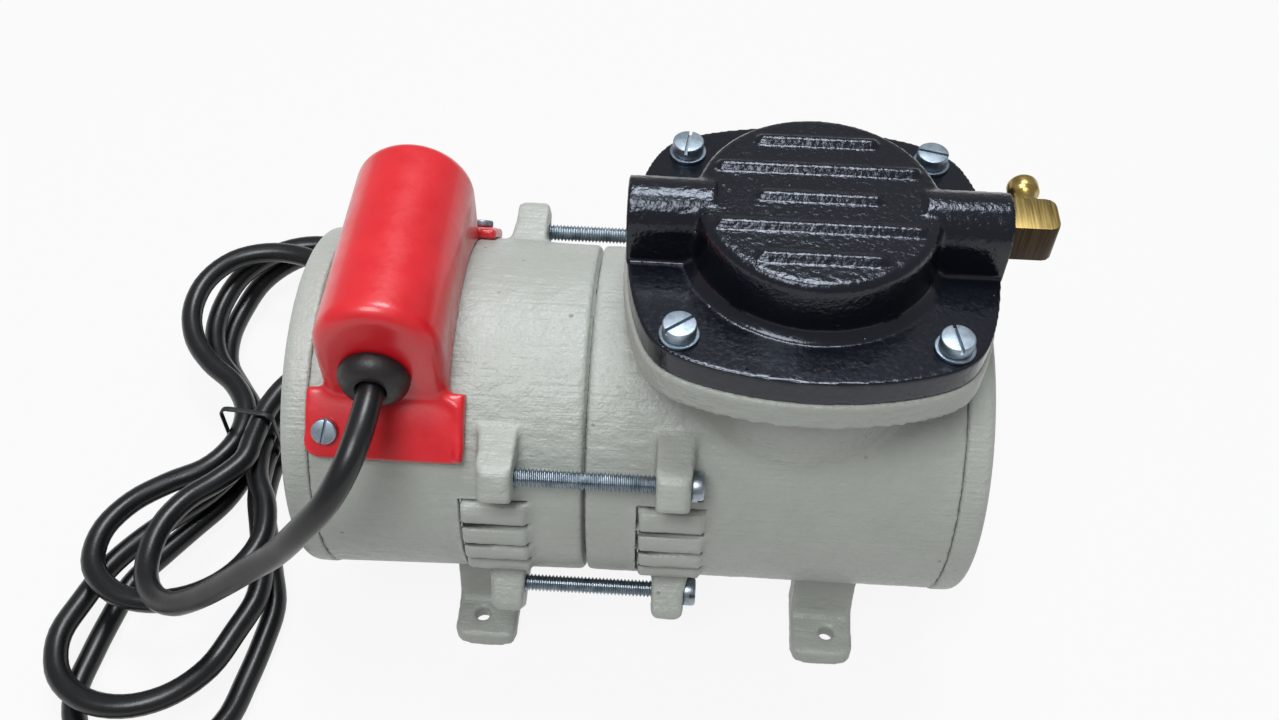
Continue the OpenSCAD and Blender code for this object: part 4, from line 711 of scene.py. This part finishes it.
# %% Flat ring and joint
def flat_ring(first_r, second_r, height, steps):
    """A flat ring between two radii, on its lower face, in mm."""
    only()
    bpy.ops.mesh.primitive_circle_add(vertices=steps, radius=first_r * MM, location=(0, 0, 0))
    ring = bpy.context.object
    bpy.ops.object.mode_set(mode="EDIT")
    bpy.ops.mesh.select_all(action="SELECT")
    bpy.ops.mesh.extrude_edges_move()
    bpy.ops.transform.resize(value=(second_r / first_r, second_r / first_r, 1))
    bpy.ops.mesh.select_all(action="SELECT")
    bpy.ops.mesh.normals_make_consistent(inside=False)
    bpy.ops.mesh.extrude_region_move(TRANSFORM_OT_translate={"value": (0, 0, height * MM)})
    bpy.ops.mesh.select_all(action="SELECT")
    bpy.ops.mesh.normals_make_consistent(inside=False)
    bpy.ops.object.mode_set(mode="OBJECT")
    return ring


JOINT_W = 1.2


def open_joint(piece):
    ring = flat_ring(44.6, 51, JOINT_W, 160)
    ring.matrix_world = turned_to(at(-JOINT_W / 2, 0, AXIS_H), (1, 0, 0), 0)
    settle(ring)
    cut_away(piece, ring)


def joint_weight(x, y, z):
    return 1.0 if abs(x) < 2.4 and from_shaft(y, z) > 46.2 else 0


print("the joint's groove is", JOINT_W, "mm wide")

# %% Mould marks
lumps = bpy.data.textures.new("sand_mould", "CLOUDS")
lumps.noise_scale = 3.2 * MM
lumps.noise_depth = 2


def barrel_weight(x, y, z):
    """The outside, away from the bolts, the joint and the seat of the head."""
    if abs(x) > 1.5 and z < 127:
        return ramp(from_shaft(y, z), 46.6, 47.4) * ramp(from_bolts(y, z), 4, 5)
    return 0


def roughen(piece):
    work_where(piece, barrel_weight, "DISPLACE", texture=lumps, texture_coords="LOCAL",
               strength=0.42 * MM, mid_level=0.5)


print("lumps of", round(lumps.noise_scale / MM, 1), "mm")

# %% [markdown]
# Both casings go through the same steps, in the founder's order: weld, round the corners, roughen,
# then cut the louvres and the joint sharp. The crankcase also has the neck's fillet, which needs
# the most smoothing.

# %% Casing skins
CELL = 0.8


def casing_skin(node, name, fillets, louvres):
    piece = merged_copy(node, name)
    rebuild(piece, CELL, 2)
    for weight, passes in fillets:
        soften(piece, weight, passes)
    roughen(piece)
    cut_louvres(piece, louvres)
    open_joint(piece)
    thin(piece)
    stand_for(piece, "casing", "casing", node)


casing_skin("motor_housing", "motor_casing",
            ((lug_weight, 8), (foot_weight, 5), (joint_weight, 2)), MOTOR_LOUVRES)
casing_skin("crankcase_housing", "crankcase_casing",
            ((lug_weight, 8), (foot_weight, 5), (neck_weight, 40), (joint_weight, 2)), CRANK_LOUVRES)

# %% [markdown]
# A round cover closes each end, screwed flat on its casing. The softened edge of the cover would
# leave a gap there, so its inner face is moved a third of a millimetre back to the casing.

# %% End covers
def cover_disc(node, name, inner, move):
    """inner is the height of its inner face along the shaft, and move how far that face goes."""
    piece = merged_copy(node, name)
    rebuild(piece, 0.7, 3)
    work_where(piece, lambda x, y, z: 1.0 if abs(x - inner) < 1.4 and from_shaft(y, z) > 44 else 0,
               "DISPLACE", direction="X", space="GLOBAL", mid_level=0.0, strength=move * MM)
    thin(piece, 120000)
    stand_for(piece, "casing", "casing", node)


cover_disc("motor_end_cover", "motor_cover_disc", -73.8, 0.3)
cover_disc("crankcase_end_cover", "crankcase_cover_disc", 100.3, -0.3)

# %% [markdown]
# ### The pump head
# The head is a rougher casting than the casings. Its dome and ports kept the grain of the mould
# under the black enamel, so there the skin is pushed in and out by a noise of about one
# millimetre. The flange and the sides of the dome were dressed smooth, and keep only a little.
# A bump in the enamel alone would not break up the edges of the ribs.

# %% Head skin
FLANGE_FACE, PORT_SHOULDER, DOME_FACE, RIB_FACE = 138.2, 148, 151.5, 153.3    # above the floor
DOME_R = 33


def dome_and_ports(x, y, z):
    """How much grain the skin keeps, from the flange up to the ribs."""
    if z < FLANGE_FACE:
        return 0
    if z > RIB_FACE:
        return 0.35
    on_port = math.hypot(x - HEAD_X, y) > DOME_R and z > PORT_SHOULDER
    return 1.0 if z > DOME_FACE or on_port else 0.3


def head_corners(x, y, z):
    """The inner corners round the dome and where the ports meet it."""
    near = DOME_R - 4.5 < math.hypot(x - HEAD_X, y) < DOME_R + 4
    return 1.0 if near and FLANGE_FACE - 1 < z < DOME_FACE + 0.9 else 0


head_skin = merged_copy("pump_head", "head_casting")
rebuild(head_skin, 0.62, 2)
soften(head_skin, head_corners, 8)
grain = bpy.data.textures.new("mould_grain", "CLOUDS")
grain.noise_scale = 1.2 * MM
grain.noise_depth = 1
work_where(head_skin, dome_and_ports, "DISPLACE", texture=grain, texture_coords="LOCAL",
           strength=0.22 * MM, mid_level=0.55)
thin(head_skin)
stand_for(head_skin, "casing", "head", "pump_head")

# %% [markdown]
# ### The capacitor cover
# The red cover is a pressed shell. Its tunnel runs down in a soft waist to two flanges, whose
# ends are rolled up a little to stiffen them. Two short rounded bars are laid along the end of each
# flange before the cells are built, which welds them on, and the waist is smoothed most. A lip
# could be extruded instead, but on a curved flange it would keep hard corners.

# %% Lips of the cover
CAP_X = -52.6
LIP_R = 1.4


def bar(start, end):
    """A short bar with round ends between two points."""
    only()
    bpy.ops.mesh.primitive_uv_sphere_add(segments=16, ring_count=10, radius=LIP_R * MM)
    made = bpy.context.object
    half = (end - start).length / 2
    for v in made.data.vertices:
        v.co.z += half if v.co.z > 0 else -half
    made.matrix_world = turned_to((start + end) / 2, end - start, 0)
    settle(made)
    return made


def on_barrel(dx, angle, out):
    """A point on the barrel: dx from the cover's middle, an angle above the shaft at the front."""
    radius = BARREL_R + 1.0 + out
    return at(CAP_X + dx, -radius * math.cos(math.radians(angle)),
              AXIS_H + radius * math.sin(math.radians(angle)))


lips = [bar(on_barrel(19.6, 34.5, 2.4), on_barrel(19.6, 50, 2.4)),
        bar(on_barrel(19.4, 50, 2.4), on_barrel(15.5, 52.5, 2.6))]
cover_middle = at(CAP_X, 0, 0)
half_turn = Matrix.Translation(cover_middle) @ Matrix.Rotation(math.pi, 4, "Z") \
    @ Matrix.Translation(-cover_middle)
lips += [copied(lip, half_turn) for lip in lips]
print(len(lips), "bars for the lips")


# %% Cover skin
def waist_weight(x, y, z):
    return 1.0 if 50 < from_shaft(y, z) < 58 and abs(y) < 40 and z < 118 else 0.15


cover_skin = merged_copy("capacitor_cover", "red_cover")
only(cover_skin, *lips)
bpy.ops.object.join()
rebuild(cover_skin, 0.55, 3)
soften(cover_skin, waist_weight, 30)
thin(cover_skin)
stand_for(cover_skin, "casing", "cover_red", "capacitor_cover")

# %% [markdown]
# ## Screws
# The screws are cheese heads with a sawn slot, on plain washers. Each kind is modelled once,
# upright at the origin: a cylinder is bevelled, its slot is cut, and its lower face is inset and
# extruded to the shank. It is then copied to its places with the slot at another angle, as a
# fitter leaves them.

# %% One slotted screw
def slotted_screw(name, shank_r, shank_l, head_r, head_h, slot_w, edge):
    """Its seat is at z 0, its head above and its shank below."""
    only()
    bpy.ops.mesh.primitive_cylinder_add(vertices=48, radius=head_r * MM, depth=head_h * MM,
                                        location=(0, 0, head_h / 2 * MM))
    made = bpy.context.object
    made.name = name
    settle(made)
    finish_modifier(made, "BEVEL", width=edge * MM, segments=3, limit_method="ANGLE")
    cut_away(made, block((3 * head_r, slot_w, 0.9 * head_h), (0, 0, head_h * MM)), "EXACT")
    if shank_l:
        only(made)
        bpy.ops.object.mode_set(mode="EDIT")
        bpy.ops.mesh.select_all(action="DESELECT")
        bpy.ops.object.mode_set(mode="OBJECT")
        for face in made.data.polygons:
            face.select = face.normal.z < -0.99 and abs(face.center.z) < 0.01 * MM
        bpy.ops.object.mode_set(mode="EDIT")
        bpy.ops.mesh.inset(thickness=(head_r - edge - shank_r) * MM)
        bpy.ops.mesh.extrude_region_move(TRANSFORM_OT_translate={"value": (0, 0, -shank_l * MM)})
        bpy.ops.object.mode_set(mode="OBJECT")
    only(made)
    bpy.ops.object.shade_smooth_by_angle(angle=math.radians(35))
    print(name, "has", triangles(made), "triangles")
    return made


def set_copies(model, name, places, slot, node):
    """Copies of a model at its places, joined to one piece."""
    copies = [copied(model, place) for place in places]
    bpy.data.objects.remove(model)
    only(*copies)
    bpy.ops.object.join()
    made = bpy.context.object
    made.name = made.data.name = name
    stand_for(made, "casing", slot, node)
    print(name, "in", len(places), "places")


# %% Screws and washers of the head
FLANGE_TOP, WASHER_T = 136.5, 1.0
UPWARDS = (0, 0, 1)
SLOT_TURN = {(-1, 1): 82, (1, 1): -14, (-1, -1): 38, (1, -1): 100}
seats = {(i, j): at(HEAD_X + 33 * i, 33 * j, FLANGE_TOP) for i in (-1, 1) for j in (-1, 1)}
screw = slotted_screw("cheese_head_screw", 2.5, 16.5, 4.2, 3.4, 0.9, 0.35)
places = [turned_to(seat + Vector((0, 0, WASHER_T * MM)), UPWARDS, SLOT_TURN[corner_of])
          for corner_of, seat in seats.items()]
set_copies(screw, "head_screws_turned", places, "zinc_steel", "head_screws")

washer = flat_ring(5.0, 2.7, 0.95, 64)
finish_modifier(washer, "BEVEL", width=0.22 * MM, segments=2, limit_method="ANGLE")
bpy.ops.object.shade_smooth_by_angle(angle=math.radians(35))
set_copies(washer, "head_washers_pressed", [turned_to(seat, UPWARDS, 0) for seat in seats.values()],
           "washer_steel", "head_washers")


# %% Cover screws and end cover screws
def round_shaft(x, radius, angle, outward):
    """A place round the shaft, angle degrees above its front side, and the way a screw there looks:
    along the shaft where outward says so, else away from it."""
    a = math.radians(angle)
    point = at(x, -radius * math.cos(a), AXIS_H + radius * math.sin(a))
    return point, (outward, 0, 0) if outward else (0, -math.cos(a), math.sin(a))


screw = slotted_screw("cover_screw", 1.6, 8.5, 3.4, 2.0, 0.8, 0.45)
places = [turned_to(*round_shaft(-67.9, 52.04, 41.2, 0), 80),
          turned_to(*round_shaft(-37.3, 52.04, 138.8, 0), 25)]
set_copies(screw, "cover_screws_turned", places, "zinc_steel", "capacitor_cover_screws")

screw = slotted_screw("end_cover_screw", 2.0, 14.0, 3.6, 2.4, 0.9, 0.5)
places = [turned_to(*round_shaft(x, 36.5, 45 + 90 * k, outward), 20 + 47 * k)
          for x, outward in ((-78.5, -1), (105.0, 1)) for k in range(4)]
set_copies(screw, "end_cover_screws_turned", places, "zinc_steel", "end_cover_screws")

# %% [markdown]
# ## Tie bolts
# Four long screws draw the casings together, and their thread shows all along. A thread is a V
# that a Screw modifier winds up the axis, 1.06 mm for each turn, which is 24 turns to the inch.
# A bump would do from afar, but the outline of these bolts is seen against the casing.

# %% Threaded tie bolts
PITCH = 1.058
TIE_LONG = 54.5
TIE_SEAT = 28.2    # under the heads, from the joint
bolt = slotted_screw("tie_bolt", 2.5, 0, 4.2, 4.0, 1.0, 0.9)
tooth = [(1.9, 0), (2.46, 0.38), (2.46, 0.5), (1.9, 0.88), (1.9, 1)]    # radius mm, share of a turn
mesh = bpy.data.meshes.new("thread")
mesh.from_pydata([(r * MM, 0, z * PITCH * MM) for r, z in tooth], [(i, i + 1) for i in range(4)], [])
thread = bpy.data.objects.new("thread", mesh)
bpy.context.collection.objects.link(thread)
thread.location.z = -TIE_LONG * MM
settle(thread)
finish_modifier(thread, "SCREW", axis="Z", screw_offset=PITCH * MM, steps=20, render_steps=20,
                iterations=int(TIE_LONG / PITCH) + 1)
bpy.ops.object.mode_set(mode="EDIT")
bpy.ops.mesh.select_all(action="SELECT")
bpy.ops.mesh.remove_doubles(threshold=0.02 * MM)
bpy.ops.mesh.select_all(action="DESELECT")
bpy.ops.mesh.select_mode(type="EDGE")
bpy.ops.mesh.select_non_manifold()
bpy.ops.mesh.edge_face_add()
bpy.ops.mesh.select_all(action="SELECT")
bpy.ops.mesh.normals_make_consistent(inside=False)
bpy.ops.object.mode_set(mode="OBJECT")
bpy.ops.object.shade_flat()
print("thread of", int(TIE_LONG / PITCH) + 1, "turns")

# %% Tie bolts in place
only(bolt, thread)
bpy.ops.object.join()
places = [turned_to(at(TIE_SEAT, *round_tie(across, up)), (1, 0, 0), 35 + 50 * across + 25 * up)
          for across in (-1, 1) for up in (-1, 1)]
set_copies(bolt, "tie_bolts_threaded", places, "tie_steel", "tie_bolts")

# %% [markdown]
# ## Brass fitting
# The outlet's elbow is a short length of square brass bar, sawn off, with its far corners
# rounded. It starts from a cube whose corners are bevelled. Its sawn faces keep the brass finish,
# and its drawn sides get a dark brown that is painted shade; the direction of each face sets which.
# A round spigot screws it into the head.

# %% Elbow
PORT_Z = AXIS_H + 81.6
elbow = block((11.5, 11, 11), at(HEAD_X + 47.5 + 5.75, 0, PORT_Z))
elbow.name = "brass_elbow_block"
bpy.ops.object.mode_set(mode="EDIT")
bpy.ops.mesh.select_mode(type="EDGE")
bpy.ops.mesh.select_all(action="DESELECT")
bpy.ops.object.mode_set(mode="OBJECT")
far = max(v.co.x for v in elbow.data.vertices)
for edge in elbow.data.edges:
    a, b = (elbow.data.vertices[i].co for i in edge.vertices)
    edge.select = abs(a.z - b.z) > 5 * MM and min(a.x, b.x) > far - MM
bpy.ops.object.mode_set(mode="EDIT")
bpy.ops.mesh.bevel(offset=2.6 * MM, segments=3)
bpy.ops.object.mode_set(mode="OBJECT")
finish_modifier(elbow, "BEVEL", width=0.3 * MM, segments=2, limit_method="ANGLE",
                angle_limit=math.radians(50))
only()
bpy.ops.mesh.primitive_cylinder_add(vertices=48, radius=4.3 * MM, depth=9.4 * MM,
                                    location=at(HEAD_X + 43, 0, PORT_Z), rotation=(0, math.pi / 2, 0))
spigot = bpy.context.object
settle(spigot)
only(elbow, spigot)
bpy.ops.object.join()
bpy.ops.object.shade_smooth_by_angle(angle=math.radians(35))
stand_for(elbow, "casing", "brass", "outlet_elbow")
# The sides get the dark brown, which is painted shade, and the sawn faces keep the brass.
elbow.data.materials.append(finishes["drawn_brass"])
for face in elbow.data.polygons:
    face.material_index = 0 if abs(face.normal.z) > 0.8 else 1
print("elbow with", len(elbow.data.polygons), "faces")

# %% [markdown]
# ### Nozzle and grommet
# The hose nozzle is turned on a lathe, and the rubber grommet is moulded in a turned form. Both
# are round, so each is half a section that is spun round its axis, as the lathe does it.

# %% Spun pieces
def spun(name, profile, steps=48):
    """A closed half section of (radius, height) in mm, spun round Z to a ring."""
    shape = bpy.data.meshes.new(name)
    count = len(profile)
    shape.from_pydata([(r * MM, 0, h * MM) for r, h in profile],
                      [(i, (i + 1) % count) for i in range(count)], [])
    made = bpy.data.objects.new(name, shape)
    bpy.context.collection.objects.link(made)
    only(made)
    bpy.ops.object.mode_set(mode="EDIT")
    bpy.ops.mesh.select_all(action="SELECT")
    bpy.ops.mesh.spin(steps=steps, angle=2 * math.pi, center=(0, 0, 0), axis=(0, 0, 1))
    bpy.ops.mesh.select_all(action="SELECT")
    bpy.ops.mesh.remove_doubles(threshold=0.005 * MM)
    bpy.ops.mesh.normals_make_consistent(inside=False)
    bpy.ops.object.mode_set(mode="OBJECT")
    bpy.ops.object.shade_smooth_by_angle(angle=math.radians(32))
    print(name, "has", triangles(made), "triangles")
    return made


# %% Nozzle and grommet
nozzle = spun("brass_nozzle", [
    (1.7, -2.9), (2.6, -2.9), (2.6, 0.1), (4.2, 0.1), (4.4, 0.3), (4.4, 1.4), (4.2, 1.7), (3.3, 2.5),
    (3.1, 3.0), (3.1, 6.0), (3.3, 6.5), (3.8, 7.0), (4.0, 7.4), (4.0, 10.0), (3.85, 10.5),
    (3.2, 11.3), (2.9, 11.45), (1.9, 11.45), (1.7, 11.3)])
nozzle.matrix_world = turned_to(at(HEAD_X + 53.25, 5.5, PORT_Z), (0, 1, 0), 0)
settle(nozzle)
stand_for(nozzle, "casing", "brass", "hose_nozzle")
nozzle.data.materials[0] = finishes["turned_brass"]

grommet = spun("moulded_grommet", [
    (3.68, -3.7), (7.5, -3.7), (7.5, -2.4), (6.25, -2.3), (6.25, 0.1), (8.7, 0.1), (9.2, 0.35),
    (9.4, 0.9), (9.35, 1.9), (9.0, 3.0), (8.3, 4.1), (7.3, 5.0), (6.1, 5.7), (5.0, 5.95),
    (4.3, 5.85), (3.85, 5.4), (3.68, 4.6)], 64)
grommet.matrix_world = turned_to(at(-53.8, -32.2, 114.3), (0, -1, 0), 0)
settle(grommet)
stand_for(grommet, "casing", "grommet_rubber", "cord_grommet")

# %% [markdown]
# ## Plug and tie
# The lead ends in a moulded two-pin plug. Its body is a spun form with a ribbed neck that bends
# with the cord, and its skin has grip bars. The bars are one bar that is copied round the axis.

# %% Plug
PLUG = at(-28.3, 72, 18)
plug = spun("moulded_plug", [
    (0.01, 4.5), (3.5, 4.5), (3.7, 0.4), (4.6, 0.0), (5.0, 0.6), (5.0, 2.6), (4.5, 3.2), (4.5, 4.4),
    (5.4, 5.0), (5.4, 7.2), (4.9, 7.8), (4.9, 9.0), (5.8, 9.6), (5.8, 12.0), (5.3, 12.6),
    (5.3, 13.8), (6.3, 14.4), (6.3, 17.2), (5.8, 17.8), (5.8, 19.2), (6.8, 19.8), (7.0, 23.0),
    (7.3, 27.5), (8.3, 30.6), (10.4, 32.6), (12.2, 34.4), (13.0, 38.0), (13.4, 43.0), (14.3, 46.6),
    (16.4, 49.8), (17.4, 52.0), (17.7, 54.0), (17.75, 64.6), (17.5, 65.4), (16.8, 65.9),
    (0.01, 65.9)], 64)
grip = block((1.0, 2.2, 9.0), (17.4 * MM, 0, 59.5 * MM))
finish_modifier(grip, "BEVEL", width=0.35 * MM, segments=2)
grips = [copied(grip, Matrix.Rotation(math.radians(20 * k), 4, "Z")) for k in range(18)]
bpy.data.objects.remove(grip)
only(plug, *grips)
bpy.ops.object.join()
bpy.ops.object.shade_smooth_by_angle(angle=math.radians(32))
plug.matrix_world = turned_to(PLUG, (1, 0, 0), 0)
settle(plug)
stand_for(plug, "casing", "plug_plastic", "plug_body")
print(len(grips), "grip bars on the plug")

# %% [markdown]
# The tie is a turn of coated wire with its ends twisted. Its CAD form is right, so it only gets
# softer edges.

# %% Tie
tie = merged_copy("cord_tie", "coated_wire_tie")
rebuild(tie, 0.35, 3)
thin(tie, 60000)
stand_for(tie, "casing", "tie_wire", "cord_tie")

# %% [markdown]
# ## Floor and light
# The pump stands on a plain pale floor, as in a small studio. The floor shows white to the camera
# and in reflections, and still takes the pump's soft shadow. A white plane alone would go grey
# towards its edges, so part of its white is given off by itself.

# %% Floor
def plain_white(name, share):
    """A matt white, share of which is its own light in camera and gloss rays."""
    material = bpy.data.materials.new(name)
    material.use_nodes = True
    nodes, links = material.node_tree.nodes, material.node_tree.links
    shader = nodes["Principled BSDF"]
    shader.inputs["Base Color"].default_value = linear("#b4b4b2")
    shader.inputs["Roughness"].default_value = 0.9
    ray = add(material, "LightPath")
    seen = add(material, "Math", {0: ray.outputs["Is Camera Ray"], 1: ray.outputs["Is Glossy Ray"]},
               operation="MAXIMUM")
    part = add(material, "Math", {0: seen.outputs[0], 1: share}, operation="MULTIPLY")
    white = add(material, "Emission", {"Color": (1, 1, 1, 1), "Strength": 1.0})
    mixed = add(material, "MixShader", {0: part.outputs[0], 1: shader.outputs[0], 2: white.outputs[0]})
    links.new(mixed.outputs[0], nodes["Material Output"].inputs["Surface"])
    return material


only()
bpy.ops.mesh.primitive_plane_add(size=6, location=(0, 0, 0))
floor = bpy.context.object
floor.name = "studio_floor"
floor.data.materials.append(plain_white("matte_white_floor", 0.9))
print("floor", [round(side, 1) for side in floor.dimensions], "m")

# %% [markdown]
# One lamp hangs behind and above the pump and gives the long lights on the barrels, and one in
# front fills the sides that face the camera. Both are large, so that shadows stay soft. The air
# round them is white to the camera and dimmer for everything else.

# %% Lights
def soft_lamp(name, place, size, watts, colour):
    """A round lamp that looks at the pump."""
    aim = Vector((0, 0, 0.06))
    bpy.ops.object.light_add(type="AREA", location=place)
    lamp = bpy.context.object
    lamp.name = name
    lamp.data.shape = "DISK"
    lamp.data.size = size
    lamp.data.energy = watts
    lamp.data.color = colour
    lamp.rotation_euler = (aim - Vector(place)).to_track_quat("-Z", "Y").to_euler()
    print(name, "of", watts, "W")


soft_lamp("ceiling_lamp", (0.05, 0.36, 1.28), 0.5, 10.5, (0.93, 0.965, 1.0))
soft_lamp("front_lamp", (-0.25, -0.5, 1.22), 0.6, 9.5, (0.97, 0.985, 1.0))
world = bpy.data.worlds.new("studio_air")
bpy.context.scene.world = world
world.use_nodes = True
background = world.node_tree.nodes["Background"]
background.inputs["Color"].default_value = (1, 1, 1, 1)
ray = add(world, "LightPath")
level = add(world, "MapRange", {"Value": ray.outputs["Is Camera Ray"], "To Min": 0.37})
world.node_tree.links.new(level.outputs["Result"], background.inputs["Strength"])
bpy.context.scene.view_settings.view_transform = "Standard"
